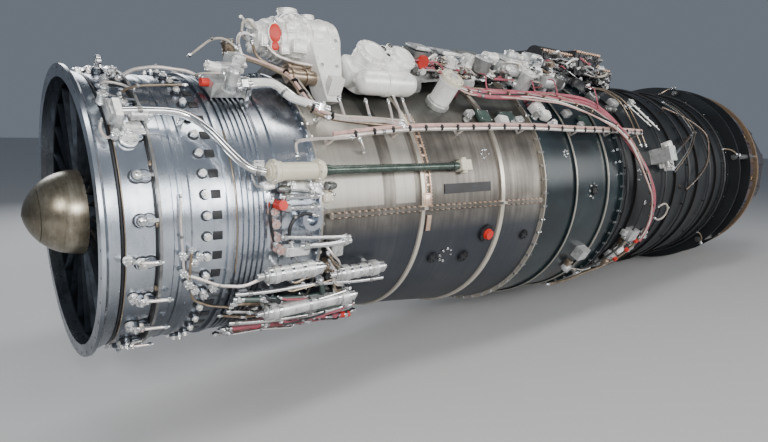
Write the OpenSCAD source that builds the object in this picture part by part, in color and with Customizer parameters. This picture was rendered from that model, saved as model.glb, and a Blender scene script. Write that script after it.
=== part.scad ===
// Afterburning two-spool bypass jet engine, bare of its airframe fittings.
// Axis along X with +X to the rear, the near side is -Y and +Z is up.
// The origin is the centre of the inlet flange face. All sizes are millimetres.

/* [Inlet] */
// Outer radius of the inlet flange
lip_r = 450; // [446:1:470]
// Thickness of the inlet flange
lip_t = 10; // [6:1:16]
// Outer radius of the inlet case just behind its flange
inlet_r = 426; // [424:0.5:430]
// Length of the inlet case
inlet_len = 143; // [140:1:160]
// Radius of the air path at the inlet
flow_r = 412; // [408:0.5:414]
// Number of inlet struts, each with a swivelling flap behind it
strut_count = 23; // [15:1:25]
// Radius of the inlet hub and of the nose cone
hub_r = 128; // [110:1:140]
// Length of the nose cone ahead of the inlet flange
nose_len = 115; // [90:1:150]
// Length of the separate tip on the nose cone
nose_tip_len = 40; // [25:1:55]
// Radius of a flap spindle
spindle_r = 6; // [4:0.5:7]
// Bolt circle diameter of the inlet flange
lip_bolt_circle = 876; // [870:1:886]
// Number of bolt holes in the inlet flange
lip_bolts = 36; // [12:1:48]
// Radius of the bolt holes in the inlet flange
lip_hole_r = 4.25; // [3:0.25:5]

/* [Fan case] */
// Station of the joint between the front and the rear fan case
fan_joint_x = 345; // [342:1:350]
// Outer radius of the case at that joint
fan_joint_r = 440; // [438:0.5:444]
// Station where the bypass duct begins
duct_x = 640; // [636:1:650]
// Outer radius of the case where the bypass duct begins
duct_r = 458; // [454:0.5:462]
// Number of locating pins and windows around the front fan case
pin_count = 46; // [24:1:48]
// Radius of the locating pins
pin_r = 6; // [4:0.5:8]
// Number of blades in each fan stage
fan_blades = 25; // [15:1:29]
// Wall of the fan case
fan_wall = 8; // [5:0.5:10]

/* [Bypass duct and rear duct] */
// Station of the front stiffening ring
ring_f_x = 1081; // [1070:1:1100]
// Radius of the duct at the front stiffening ring
ring_f_r = 482; // [478:0.5:486]
// Station of the rear stiffening ring
ring_d_x = 1487; // [1478:1:1500]
// Radius of the duct at the rear stiffening ring
ring_d_r = 531; // [528:0.5:535]
// Station of the large bolted flange
main_flange_x = 1738; // [1730:1:1745]
// Radius of the duct at the large bolted flange
main_flange_r = 562; // [558:0.5:566]
// Station of the afterburner flange
burner_x = 2372; // [2360:1:2384]
// Radius of the rear duct at the afterburner flange
burner_r = 590; // [586:0.5:594]
// Wall of the ducts
duct_wall = 4; // [3:0.25:6]
// Height of the bolted flanges above the skin
flange_h = 16; // [14:0.5:20]
// Thickness of one half of a bolted flange
flange_t = 7; // [5:0.5:9]
// Number of bolts in each large flange
flange_bolts_n = 60; // [24:1:72]
// Radius of the flange bolts
flange_bolt_r = 4; // [3:0.25:5]
// Width of the split flange along each side of the bypass duct
split_w = 22; // [18:0.5:28]
// Thickness of one half of the split flange
split_t = 6; // [4:0.5:8]
// Spacing of the bolts along the split flange
split_pitch = 27; // [24:0.5:45]
// Radius of the split flange bolts
split_bolt_r = 3.5; // [2.5:0.25:4]

/* [Core] */
// Radius of the low-pressure shaft
lp_shaft_r = 45; // [40:0.5:50]
// Radius of the high-pressure shaft
core_shaft_r = 80; // [76:0.5:86]
// Running clearance of the shafts in their bearings
bearing_gap = 0.05; // [0.03:0.01:0.08]
// Outer radius of the core case at its front end
core_r = 335; // [325:1:345]
// Blades in each stage of the compressor and the turbines
core_blades = 24; // [12:1:30]

/* [Afterburner and nozzle] */
// Step by which the afterburner case is smaller than the rear duct
jetpipe_step = 15; // [12:0.5:20]
// Wall of the afterburner case
jetpipe_wall = 4; // [3:0.25:6]
// Station of the nozzle flap hinges
hinge_x = 4300; // [4290:1:4310]
// Step by which the hinges of the flaps lie inside the afterburner case
hinge_step = 45; // [43:0.5:47]
// Radius of the hinge pins
hinge_pin_r = 8; // [6:0.25:9]
// Running clearance of the hinge pins
hinge_gap = 0.05; // [0.03:0.01:0.08]
// Length of a nozzle flap from its hinge
flap_len = 650; // [600:5:680]
// Thickness of the flap plates
flap_t = 5; // [4:0.25:6]
// Angle of the open flaps at rest
flap_open_deg = 3; // [2:0.25:4]
// Angle by which the flaps close
flap_travel_deg = 9; // [6:0.5:9.5]
// Travel of the drive ring that closes the flaps
ring_travel = 90; // [80:1:95]
// Radius of the rollers in the drive ring
roller_r = 14; // [12:0.5:15]
// Radius of the jack rods
rod_r = 8; // [6:0.25:9]
// Outer radius of the jack cylinders
jack_r = 18; // [16:0.5:20]

/* [Accessories] */
// Outer radius of the actuator body
actuator_r = 27; // [22:0.5:30]
// Radius of the actuator tube
actuator_tube_r = 13; // [10:0.5:16]
// Radius of the bright bleed pipe on the inlet
bleed_pipe_r = 12; // [9:0.5:13]
// Radius of the clamped pipe along the duct
long_pipe_r = 8; // [6:0.5:9]
// Radius of the red hoses
hose_r = 9; // [7:0.5:11]
// Radius of the fuel filters
filter_r = 24; // [18:0.5:26]
// Diameter of the main mount sockets
mount_bore_d = 40; // [30:0.5:46]
// Diameter of the hole in the lifting eye
eye_hole_d = 18; // [14:0.5:20]

/* [Hidden] */
$fn = 72;
gap = 0.3;
jetpipe_r = burner_r - jetpipe_step;
hinge_r = jetpipe_r - hinge_step;
flap_count = 12;
flap_step = 360 / flap_count;
strut_step = 360 / strut_count;
strut_phase = 3.8;
pin_step = 360 / pin_count;
spindle_x = 101;
lever_top_r = inlet_r + 24;
boss_top_r = inlet_r + 16;
pin_x = 275;
window_x = 308;
ring_seat_x = inlet_len;
outline = [[-5, lip_r], [lip_t, lip_r], [50, inlet_r], [inlet_len, inlet_r + 3],
    [fan_joint_x, fan_joint_r], [duct_x, duct_r], [ring_f_x, ring_f_r], [ring_d_x, ring_d_r],
    [main_flange_x, main_flange_r], [burner_x, burner_r]];
hub_front_bore = lp_shaft_r + 22;
nose_seam_r = 66;
mount_x = 590;
mount_out = duct_r + 42;
fan_stage_x = [195, 315, 415, 505];
stator_x = [255, 365, 460, 548];
split_x0 = duct_x + 26;
split_x1 = main_flange_x - 26;
split_n = floor((split_x1 - split_x0 - 20) / split_pitch);
// stations of the split flange bolts, clear of the two stiffening rings
split_stations = [for (i = [0:split_n]) let (x = split_x0 + 14 + i * split_pitch)
    if (abs(x - ring_f_x) > 10 + split_bolt_r * 2 && abs(x - ring_d_x) > 12 + split_bolt_r * 2) x];
rear_len = burner_x - main_flange_x;
rear_ring_x = [main_flange_x + rear_len * 0.3785, main_flange_x + rear_len * 0.7997];
case_ring_x = [2560, 3050, 3380, 3680];
housing_x = hinge_x - 400;
liner_x0 = burner_x + 48;
liner_n = 14;
liner_step = (housing_x - 80 - liner_x0) / liner_n;
gutter_r = [burner_r * 0.32, burner_r * 0.525, burner_r * 0.73];
roller_ring_r = hinge_r + 65;
jack_ring_r = roller_ring_r + roller_r + 13;
jack_count = 6;
housing_end = hinge_x - 26;
jack_x0 = housing_x + 12;
jack_x1 = hinge_x - 95;
ring_x = hinge_x + 60;
ring_in = roller_ring_r + roller_r + 2;
flap_half_root = hinge_r * tan(15) - 6;
closed_tip_r = hinge_r - flap_len * sin(flap_open_deg + flap_travel_deg);
flap_half_tip = closed_tip_r * tan(15) - 10;
side_slope = atan((flap_half_root - flap_half_tip) / flap_len);
lap_gap = 3;
lap_w = 76;
edge_w = 7;
gearbox_half = 235;
gearbox_x0 = duct_x + 130;
gearbox_x1 = 1700;
gearbox_foot = 26;
gearbox_top = 84;
starter_y = -150;
starter_z = 582;
leg_x = 812;
actuator_line_r = 522;
// drums of the tank: station and radius, on axes that lean out to the near side
tank_y = -345;
tank_z = 553;
tank_tilt = 48;
tank_len = 150;
tank_drums = [[940, 61], [1080, 54]];
control_z = burner_r + flange_h + 4;
eye_x = 118;
blank_x0 = ring_f_x + 104;
blank_x1 = ring_d_x - 64;
// service covers as [station, clock angle, radius]
covers = [[ring_d_x - 63, -13.9, 38], [ring_f_x + (ring_d_x - ring_f_x) * 0.6355, -25.3, 26],
    [ring_f_x + (ring_d_x - ring_f_x) * 0.2364, -24.8, 24], [max(main_flange_x - 85, ring_d_x + 37), -15.9, 22],
    [rear_ring_x[0] + 154, 2.3, 24]];
// points of the clamped pipe, each with a post below it
long_pipe = [[duct_x + 60, 29.4, 50], [ring_f_x - 88, 32.3, 50], [ring_d_x - 187, 31.9, 50],
    [main_flange_x - 98, 30.6, 49], [rear_ring_x[0] + 34, 29.1, 48], [burner_x - 72, 28.4, 51],
    [burner_x + 228, 28, 62]];
hose_line = [[1420, 57, 44], [1436, 52, 58], [1500, 49, 60], [1643, 47.8, 60], [1815, 47.8, 60], [2000, 47, 62],
    [2141, 44.6, 70], [2221, 40, 76], [2290, 32, 80], [2380, 22.5, 88], [2470, 14.5, 84], [2560, 6, 80],
    [2640, -3, 74], [2700, -14, 62], [2740, -26, 52]];
hose_apart = 2.6;
function skin_r(x) = x > burner_x ? jetpipe_r : lookup(x, outline);
function rev(v) = [for (i = [len(v) - 1:-1:0]) v[i]];
function shell(v, w) = concat(v, rev([for (p = v) [p[0], p[1] - w]]));
function polar(x, a, r) = [x, -r * cos(a), r * sin(a)];
function slope(x) = abs(skin_r(x + 5) - skin_r(x - 5)) / 10;
function unit(v) = v / norm(v);
// Route points are [station, clock angle above the near side, height over the skin]
function route(v) = [for (p = v) polar(p[0], p[1], skin_r(p[0]) + p[2])];
function curve_point(a, b, c, d, t) = 0.5 * (2 * b + (c - a) * t + (2 * a - 5 * b + 4 * c - d) * t * t
    + (3 * b - a - 3 * c + d) * t * t * t);
function smooth(v, n) = let (m = len(v)) concat([for (i = [0:m - 2]) for (k = [0:n - 1])
    curve_point(v[max(i - 1, 0)], v[i], v[i + 1], v[min(i + 2, m - 1)], k / n)], [v[m - 1]]);

module revolve(v, f = 96) {
    rotate([0, 90, 0])
        rotate_extrude($fn = f)
            polygon([for (p = v) [p[1], p[0]]]);
}

module ring(x, len, r_in, r_out) {
    revolve([[x, r_in], [x + len, r_in], [x + len, r_out], [x, r_out]]);
}

module at_clock(a) {
    rotate([90 - a, 0, 0])
        children();
}

module rod(x, len, r) {
    translate([x, 0, 0])
        rotate([0, 90, 0])
            cylinder(h = len, r = r);
}

// Solid of everything inside the outer skin, used to seat pieces on the case
module skin_solid(d, f = 96) {
    revolve(concat([[outline[0][0], 0]], [for (p = outline) [p[0], p[1] + d]],
        [[burner_x + 0.1, jetpipe_r + d], [hinge_x - 60, jetpipe_r + d], [hinge_x - 60, 0]]), f);
}

// Eight-sided tube swept along a smooth line through the points
module tube(points, r, n) {
    p = smooth(points, n);
    m = len(p);
    t = [for (i = [0:m - 1]) unit(p[min(i + 1, m - 1)] - p[max(i - 1, 0)])];
    // each ring is turned so that its first corner points away from the axis
    u = [for (i = [0:m - 1]) let (o = [0, p[i][1], p[i][2]]) unit(o - (o * t[i]) * t[i])];
    w = [for (i = [0:m - 1]) cross(t[i], u[i])];
    q = [for (i = [0:m - 1]) for (k = [0:7]) p[i] + r * (cos(45 * k) * u[i] + sin(45 * k) * w[i])];
    f = concat([[for (k = [0:7]) k]], [[for (k = [7:-1:0]) (m - 1) * 8 + k]],
        [for (i = [0:m - 2]) for (k = [0:7])
            [i * 8 + k, (i + 1) * 8 + k, (i + 1) * 8 + (k + 1) % 8, i * 8 + (k + 1) % 8]]);
    polyhedron(q, f, convexity = 10);
}

// Post from the skin up to a pipe that runs h above it
module clip(x, a, h, r) {
    at_clock(a)
        translate([x, 0, skin_r(x) + gap + slope(x) * r + 0.1])
            cylinder(h = h - gap - slope(x) * r - 0.1, r = r);
}

module blade(chord, thick, stagger, r_in, r_out, x) {
    translate([x, 0, r_in])
        rotate([0, 0, stagger])
            linear_extrude(r_out - r_in)
                polygon([[-chord / 2, 0], [-chord * 0.15, thick / 2], [chord / 2, 0],
                    [-chord * 0.15, -thick / 2]]);
}

module blade_row(n, chord, thick, stagger, r_in, r_out, x) {
    for (i = [0:n - 1])
        at_clock(i * 360 / n)
            blade(chord, thick, stagger, r_in, r_out, x);
}

// Inlet case with its flange, two grooves and the round bosses of the flap spindles
module inlet_case() {
    color("lightsteelblue")
        difference() {
            union() {
                revolve([[0, flow_r], [0, lip_r], [lip_t, lip_r], [lip_t + 10, lip_r - 14], [50, inlet_r],
                    [54, inlet_r - 5], [61, inlet_r - 5], [64, inlet_r], [inlet_len - 6, inlet_r + 2],
                    [inlet_len - 6, inlet_r - 4], [inlet_len, inlet_r - 4], [inlet_len, flow_r]]);
                for (i = [0:strut_count - 1])
                    at_clock(strut_phase + i * strut_step)
                        translate([spindle_x, 0, flow_r + 6])
                            cylinder(h = boss_top_r - flow_r - 6, r = 17, $fn = 32);
            }
            for (i = [0:strut_count - 1])
                at_clock(strut_phase + i * strut_step)
                    translate([spindle_x, 0, flow_r - 5])
                        cylinder(h = boss_top_r - flow_r + 10, r = spindle_r + bearing_gap, $fn = 32);
            for (i = [0:lip_bolts - 1])
                at_clock((i + 0.5) * 360 / lip_bolts)
                    translate([-1, 0, lip_bolt_circle / 2])
                        rotate([0, 90, 0])
                            cylinder(h = lip_t + 2, r = lip_hole_r, $fn = 24);
        }
}

// Hub of the inlet with its fixed struts
module inlet_struts() {
    color("slategray")
        union() {
            revolve([[36, hub_r - 14], [36, hub_r], [inlet_len + 4, hub_r + 12], [inlet_len + 4, hub_r - 2]]);
            ring(120, 16, hub_front_bore, hub_r);
            intersection() {
                blade_row(strut_count, 52, 10, 0, hub_r - 4, flow_r + 6, 64);
                ring(20, 90, hub_r - 6, flow_r - 0.05);
            }
        }
}

module spinner() {
    color("tan")
        revolve([[36 - gap, 0], [36 - gap, hub_r], [10, hub_r - 1], [-20, hub_r - 8], [-45, hub_r - 24],
            [-nose_len + nose_tip_len, nose_seam_r], [-nose_len + nose_tip_len, 0]]);
}

module spinner_cap() {
    color("burlywood")
        translate([-nose_len + nose_tip_len - gap, 0, 0])
            revolve([[0, 0], [0, nose_seam_r - 1], [-nose_tip_len * 0.4, nose_seam_r * 0.72],
                [-nose_tip_len * 0.75, nose_seam_r * 0.42], [-nose_tip_len * 0.95, nose_seam_r * 0.16],
                [-nose_tip_len, 0]]);
}

// Swivelling flap behind each strut, with its spindle and lever
module vane_flaps() {
    color("silver")
        for (i = [0:strut_count - 1])
            at_clock(strut_phase + i * strut_step) {
                translate([spindle_x, 0, flow_r - 3])
                    cylinder(h = lever_top_r - flow_r + 3, r = spindle_r, $fn = 32);
                translate([spindle_x, 0, hub_r + 15])
                    linear_extrude(flow_r - hub_r - 17)
                        polygon([[-9, 0], [-4, 4.5], [12, 4], [33, 0], [12, -4], [-4, -4.5]]);
                translate([spindle_x, 0, boss_top_r + gap])
                    cylinder(h = 6, r = 13, $fn = 32);
                translate([spindle_x, -5, boss_top_r + gap])
                    cube([ring_seat_x - spindle_x, 10, 5]);
            }
}

// Ring that turns all the flap levers together, held on the case by its rubbing pads
module unison_ring() {
    color("dimgray")
        ring(ring_seat_x + 1, 8, inlet_r + 6, boss_top_r + 5);
}

module fan_case_front() {
    x0 = inlet_len;
    r0 = inlet_r;
    color("lightsteelblue")
        difference() {
            union() {
                revolve([[x0, flow_r], [x0, r0 - 6], [x0 + 14, r0 - 4], [x0 + 14, r0 + 4], [x0 + 42, r0 + 6],
                    [x0 + 46, r0 + 2], [x0 + 60, r0 + 3], [x0 + 63, r0 + 8], [x0 + 72, r0 + 8],
                    [x0 + 75, r0 + 4], [x0 + 90, r0 + 4], [x0 + 94, skin_r(x0 + 94)],
                    [fan_joint_x - 8, skin_r(fan_joint_x - 8)],
                    [fan_joint_x - 8, fan_joint_r + 9], [fan_joint_x, fan_joint_r + 9], [fan_joint_x, flow_r]]);
                for (i = [0:pin_count - 1])
                    at_clock(strut_phase + i * pin_step)
                        translate([pin_x, 0, fan_joint_r - 16])
                            cylinder(h = 23, r = pin_r + 6, $fn = 28);
            }
            for (i = [0:pin_count - 1])
                at_clock(strut_phase + i * pin_step) {
                    translate([pin_x, 0, fan_joint_r - 18])
                        cylinder(h = 30, r = pin_r + bearing_gap, $fn = 28);
                    translate([window_x - 11, -10, fan_joint_r - 9])
                        cube([22, 20, 20]);
                }
        }
}

// Locating pins around the front fan case
module locating_pins() {
    color("whitesmoke")
        for (i = [0:pin_count - 1])
            at_clock(strut_phase + i * pin_step) {
                translate([pin_x, 0, fan_joint_r - 17])
                    cylinder(h = 36, r = pin_r, $fn = 28);
                translate([pin_x, 0, fan_joint_r + 7 + gap])
                    cylinder(h = 5, r = pin_r + 4, $fn = 28);
            }
}

module fan_case_rear() {
    x0 = fan_joint_x;
    color("lightsteelblue")
        difference() {
            union() {
                revolve(concat([[x0, flow_r], [x0, fan_joint_r + 9], [x0 + 8, fan_joint_r + 9],
                    [x0 + 8, fan_joint_r - 2]],
                    [for (i = [0:5]) for (k = [0:3]) [x0 + 22 + i * 17 + [0, 2, 8, 10][k],
                        skin_r(x0 + 22 + i * 17) - [4, 3, 3, 4][k] + (k == 1 || k == 2 ? 6 : 0)]],
                    [[x0 + 128, skin_r(x0 + 128)], [x0 + 158, skin_r(x0 + 158)], [x0 + 160, skin_r(x0 + 160) + 8],
                    [x0 + 172, skin_r(x0 + 172) + 8], [x0 + 174, skin_r(x0 + 174)],
                    [duct_x - flange_t, duct_r - 2], [duct_x - flange_t, duct_r + flange_h],
                    [duct_x, duct_r + flange_h],
                    [duct_x, duct_r - 20], [duct_x - 60, duct_r - 24], [duct_x - 75, flow_r]]));
                for (s = [-1, 1])
                    translate([mount_x, 0, 0])
                        rotate([90 * s, 0, 0])
                            translate([0, 0, duct_r - 20])
                                cylinder(h = mount_out - duct_r + 20, r = mount_bore_d / 2 + 16);
            }
            for (s = [-1, 1])
                translate([mount_x, 0, 0])
                    rotate([90 * s, 0, 0])
                        translate([0, 0, duct_r + 2])
                            cylinder(h = mount_out, r = mount_bore_d / 2);
            bolt_holes(duct_x, duct_r);
        }
}

module bolt_ring(x, r, n, shank) {
    for (i = [0:n - 1])
        at_clock((i + 0.5) * 360 / n)
            translate([x, 0, r + flange_h * 0.6]) {
                translate([-flange_t - gap / 3 - 5, 0, 0])
                    rotate([0, 90, 0])
                        cylinder(h = 5, r = flange_bolt_r * 1.75, $fn = 6);
                translate([flange_t + gap / 3, 0, 0])
                    rotate([0, 90, 0])
                        cylinder(h = 6, r = flange_bolt_r * 1.65, $fn = 6);
                translate([-flange_t - 3, 0, 0])
                    rotate([0, 90, 0])
                        cylinder(h = 2 * flange_t + 10, r = flange_bolt_r, $fn = 24);
            }
}

module bolt_holes(x, r) {
    for (i = [0:flange_bolts_n - 1])
        at_clock((i + 0.5) * 360 / flange_bolts_n)
            translate([x - flange_t - 1, 0, r + flange_h * 0.6])
                rotate([0, 90, 0])
                    cylinder(h = 2 * flange_t + 2, r = flange_bolt_r + bearing_gap, $fn = 24);
}

module flange_bolts() {
    color("gainsboro") {
        bolt_ring(duct_x, duct_r, flange_bolts_n);
        bolt_ring(main_flange_x, main_flange_r, flange_bolts_n);
        bolt_ring(burner_x, burner_r, flange_bolts_n);
    }
}

// Fan stators, each a ring of vanes in its own sleeve
function drum_r(x) = hub_r + 16 + (x - 150) * 0.2;
module fan_stators() {
    color("darkgray")
        for (x = stator_x) {
            ring(x - 24, 48, flow_r - 5, flow_r - 0.05);
            intersection() {
                blade_row(fan_blades, 36, 5, 24, drum_r(x + 20) + 4, flow_r, x);
                ring(x - 30, 60, drum_r(x + 24) + 3, flow_r - 2);
            }
        }
}

module fan_rotor() {
    color("gray")
        difference() {
            union() {
                revolve([[150, lp_shaft_r + 20], [150, drum_r(150)], [580, drum_r(580)], [580, drum_r(580) - 14],
                    [340, drum_r(340) - 14], [332, lp_shaft_r + 12], [300, lp_shaft_r + 12], [292, drum_r(292) - 16],
                    [196, drum_r(196) - 16], [180, lp_shaft_r + 20]]);
                ring(180, 160, 0, lp_shaft_r + 14);
                intersection() {
                    for (i = [0:3])
                        blade_row(fan_blades, 50 - i * 5, 7, -38, drum_r(fan_stage_x[i] - 25) - 8, flow_r + 5,
                            fan_stage_x[i]);
                    ring(160, 380, hub_r, flow_r - 7);
                }
            }
            rod(120, 500, lp_shaft_r);
        }
}

module lp_shaft() {
    color("silver")
        difference() {
            rod(118, 1662, lp_shaft_r);
            rod(100, 1700, lp_shaft_r - 12);
        }
}

// Frame between the fan and the core, with the front bearing of the core
module intermediate_case() {
    color("slategray")
        union() {
            ring(duct_x - 52, 44, core_shaft_r + 20, core_shaft_r + 34);
            revolve([[duct_x - 52, core_r - 60], [duct_x - 52, core_r - 52], [duct_x + 52, core_r],
                [duct_x + 52, core_r - 10]]);
            intersection() {
                blade_row(12, 40, 12, 0, core_shaft_r + 24, duct_r, duct_x - 30);
                revolve([[duct_x - 52, core_shaft_r + 22], [duct_x - 52, duct_r - 24.1],
                    [duct_x - 8, duct_r - 21.3], [duct_x - 8, core_shaft_r + 22]]);
            }
        }
}

module core_case() {
    color("darkslategray")
        revolve([[duct_x + 52 + gap, core_r - 8], [duct_x + 52 + gap, core_r + 12], [duct_x + 62, core_r + 12],
            [duct_x + 62, core_r], [1080, core_r - 40], [1140, core_r + 5], [1440, core_r + 10],
            [1440, core_r + 4], [1146, core_r - 1], [1080, core_r - 46]]);
}

function core_tip(x) = core_r - 14 - (x - duct_x - 54) * 0.1;
module core_compressor() {
    color("gray")
        difference() {
            union() {
                revolve([[720, core_shaft_r - 2], [720, 190], [1070, 215], [1070, core_shaft_r - 2],
                    [1052, core_shaft_r - 2],
                    [1052, 196], [740, 172], [740, core_shaft_r - 2]]);
                rod(640, 900, core_shaft_r);
                for (k = [0:8])
                    blade_row(core_blades, 26, 4, -35, 185, core_tip(745 + k * 37) - 6, 738 + k * 37);
            }
            rod(600, 1000, lp_shaft_r + 8);
        }
}

module combustor_liner() {
    color("saddlebrown") {
        revolve([[1150, 300], [1150, 306], [1180, 326], [1420, 326], [1420, 320], [1184, 320], [1156, 300]]);
        revolve([[1150, 196], [1150, 190], [1180, 170], [1420, 170], [1420, 176], [1184, 176], [1156, 196]]);
        ring(1142, 8, 190, 306);
        ring(1404, 8, 324, core_r + 3);
    }
}

module turbine_case() {
    color("dimgray")
        union() {
            revolve([[1440 + gap, core_r - 10], [1440 + gap, core_r + 12], [1450, core_r + 12], [1450, core_r],
                [1700, core_r + 10], [1700, core_r], [1450, core_r - 10]]);
            intersection() {
                union() {
                    blade_row(core_blades, 40, 8, 40, 150, core_r, 1470);
                    blade_row(core_blades, 40, 8, 40, 150, core_r, 1585);
                }
                ring(1442, 200, 172, core_r - 6);
            }
            ring(1446, 40, 166, 174);
            ring(1566, 34, 166, 174);
            ring(1446, 10, core_shaft_r + 22, 172);
            ring(1446, 44, core_shaft_r + 20, core_shaft_r + 30);
        }
}

module turbine_disc(x, bore, rim, tip) {
    difference() {
        union() {
            revolve([[x - 30, bore - 2], [x - 30, bore + 16], [x - 10, bore + 30], [x - 8, rim - 20],
                [x - 20, rim - 8], [x - 20, rim], [x + 20, rim], [x + 20, rim - 8], [x + 8, rim - 20],
                [x + 10, bore + 30], [x + 30, bore + 16], [x + 30, bore - 2]]);
            blade_row(core_blades, 34, 8, -42, rim - 4, tip, x);
        }
        rod(x - 50, 100, bore);
    }
}

module core_turbine() {
    color("peru")
        turbine_disc(1527, core_shaft_r, 176, core_r - 14);
}

module lp_turbine() {
    color("peru")
        turbine_disc(1640, lp_shaft_r, 176, core_r - 12);
}

// Rear bearing frame with the exhaust cone behind the turbine
module exhaust_frame() {
    color("sienna")
        union() {
            revolve([[1702, 176], [1702, 184], [1800, 184], [2050, 60], [2100, 8], [2100, 0], [2090, 0],
                [2046, 52], [1796, 176]]);
            ring(1702, 70, lp_shaft_r + 18, lp_shaft_r + 28);
            ring(1702, 8, lp_shaft_r + 20, 180);
            intersection() {
                blade_row(10, 70, 14, 0, 176, core_r + 40, 1745);
                ring(1702, 90, 178, core_r + 24);
            }
            revolve([[1702, core_r], [1702, core_r + 10], [1800, core_r + 34], [1800, core_r + 24]]);
        }
}

// Lobed mixer between the core gas and the bypass air
module mixer() {
    color("sienna")
        difference() {
            union() {
                revolve([[1800 + gap, core_r + 24], [1800 + gap, core_r + 34], [1990, core_r + 34],
                    [1990, core_r + 30], [1806, core_r + 24]]);
                for (i = [0:15])
                    at_clock(i * 22.5)
                        translate([1820, -32, core_r + 10])
                            rotate([0, -12, 0])
                                cube([190, 64, 78]);
            }
            for (i = [0:15])
                at_clock(i * 22.5)
                    translate([1820, -28, core_r - 60])
                        rotate([0, -12, 0])
                            cube([240, 56, 144]);
        }
}

module bearings() {
    color("silver") {
        ring(121, 14, lp_shaft_r + bearing_gap, hub_front_bore - bearing_gap);
        ring(duct_x - 50, 40, core_shaft_r + bearing_gap, core_shaft_r + 20 - bearing_gap);
        ring(1448, 40, core_shaft_r + bearing_gap, core_shaft_r + 20 - bearing_gap);
        ring(1706, 60, lp_shaft_r + bearing_gap, lp_shaft_r + 18 - bearing_gap);
    }
}

// Outline of the bypass duct skin with its two stiffening rings and end flanges
duct_outline = [[duct_x, duct_r], [ring_f_x - 9, skin_r(ring_f_x - 9)], [ring_f_x - 8, ring_f_r + 7],
    [ring_f_x + 8, ring_f_r + 8], [ring_f_x + 9, skin_r(ring_f_x + 9)], [ring_d_x - 11, skin_r(ring_d_x - 11)],
    [ring_d_x - 10, ring_d_r + 8], [ring_d_x + 10, ring_d_r + 10], [ring_d_x + 11, skin_r(ring_d_x + 11)],
    [main_flange_x, main_flange_r]];
module duct_shell() {
    difference() {
        union() {
            revolve(concat(duct_outline, [[main_flange_x, main_flange_r - duct_wall],
                [ring_d_x, ring_d_r - duct_wall],
                [ring_f_x, ring_f_r - duct_wall], [duct_x, duct_r - duct_wall - 3]]), 96);
            ring(duct_x, flange_t, duct_r - 4, duct_r + flange_h);
            ring(main_flange_x - flange_t, flange_t, main_flange_r - 4, main_flange_r + flange_h);
        }
        bolt_holes(duct_x, duct_r);
        bolt_holes(main_flange_x, main_flange_r);
    }
}

module split_strip(z0) {
    for (s = [-1, 1])
        scale([1, s, 1])
            translate([0, 0, z0])
                linear_extrude(split_t)
                    polygon([[split_x0, skin_r(split_x0) - 3], [split_x0, skin_r(split_x0) + split_w],
                        [ring_f_x, ring_f_r + split_w], [ring_d_x, ring_d_r + split_w],
                        [split_x1, skin_r(split_x1) + split_w], [split_x1, skin_r(split_x1) - 3],
                        [ring_d_x, ring_d_r - 3], [ring_f_x, ring_f_r - 3]]);
}

module split_holes(z0) {
    for (s = [-1, 1])
        for (x = split_stations)
            translate([x, s * (skin_r(x) + split_w * 0.55), z0])
                cylinder(h = split_t + 2, r = split_bolt_r + bearing_gap, $fn = 20);
}

module duct_half(s) {
    difference() {
        union() {
            intersection() {
                duct_shell();
                translate([duct_x - 10, -800, s > 0 ? 0 : -800])
                    cube([main_flange_x - duct_x + 20, 1600, 800]);
            }
            split_strip(s > 0 ? 0 : -split_t);
        }
        split_holes(s > 0 ? -1 : -split_t - 1);
    }
}

module duct_upper() {
    color("rosybrown")
        duct_half(1);
}

module duct_lower() {
    color("rosybrown")
        duct_half(-1);
}

module split_bolts() {
    color("lightsalmon")
        for (s = [-1, 1])
            for (x = split_stations)
                translate([x, s * (skin_r(x) + split_w * 0.55), 0]) {
                    translate([0, 0, -split_t - 4])
                        cylinder(h = 2 * split_t + 8, r = split_bolt_r, $fn = 20);
                    translate([0, 0, split_t + gap / 3])
                        cylinder(h = 4, r = split_bolt_r * 1.8, $fn = 6);
                    translate([0, 0, -split_t - gap / 3 - 4])
                        cylinder(h = 4, r = split_bolt_r * 1.8, $fn = 6);
                }
}

// Dark rear duct with its thin bright rings
module rear_duct() {
    color("darkslategray")
        difference() {
            union() {
                revolve([[main_flange_x, main_flange_r - duct_wall], [main_flange_x, main_flange_r],
                    [burner_x, burner_r], [burner_x, burner_r - duct_wall]], 96);
                ring(main_flange_x, flange_t, main_flange_r - 3, main_flange_r + flange_h);
                ring(burner_x - flange_t, flange_t, burner_r - 3, burner_r + flange_h);
                for (x = rear_ring_x)
                    ring(x - 4, 8, skin_r(x) - 3, skin_r(x) + 12);
            }
            bolt_holes(main_flange_x, main_flange_r);
            bolt_holes(burner_x, burner_r);
        }
}

// Three gutter rings on radial spray bars, ahead of the afterburner
module flame_holder() {
    color("sienna")
        union() {
            for (r = gutter_r)
                revolve([[2300, r - 3], [2300, r + 3], [2340, r + 20], [2340, r + 16], [2306, r], [2340, r - 16],
                    [2340, r - 20]]);
            intersection() {
                for (i = [0:11])
                    at_clock(i * 30 + 15)
                        translate([2302, -5, gutter_r[0]])
                            cube([26, 10, 500]);
                skin_solid(-duct_wall - gap);
            }
        }
}

module afterburner_case() {
    r1 = jetpipe_r;
    color("dimgray")
        difference() {
            union() {
                revolve([[burner_x, burner_r - duct_wall], [burner_x, burner_r], [burner_x + 30, r1], [housing_x, r1],
                    [housing_x, r1 - jetpipe_wall], [burner_x + 30, r1 - jetpipe_wall]], 96);
                ring(burner_x, flange_t, burner_r - 4, burner_r + flange_h);
                for (x = case_ring_x)
                    ring(x - 5, 10, r1 - 3, r1 + 13);
                ring(housing_x - flange_t, flange_t, r1 - 3, r1 + 12);
            }
            bolt_holes(burner_x, burner_r);
        }
}

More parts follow.
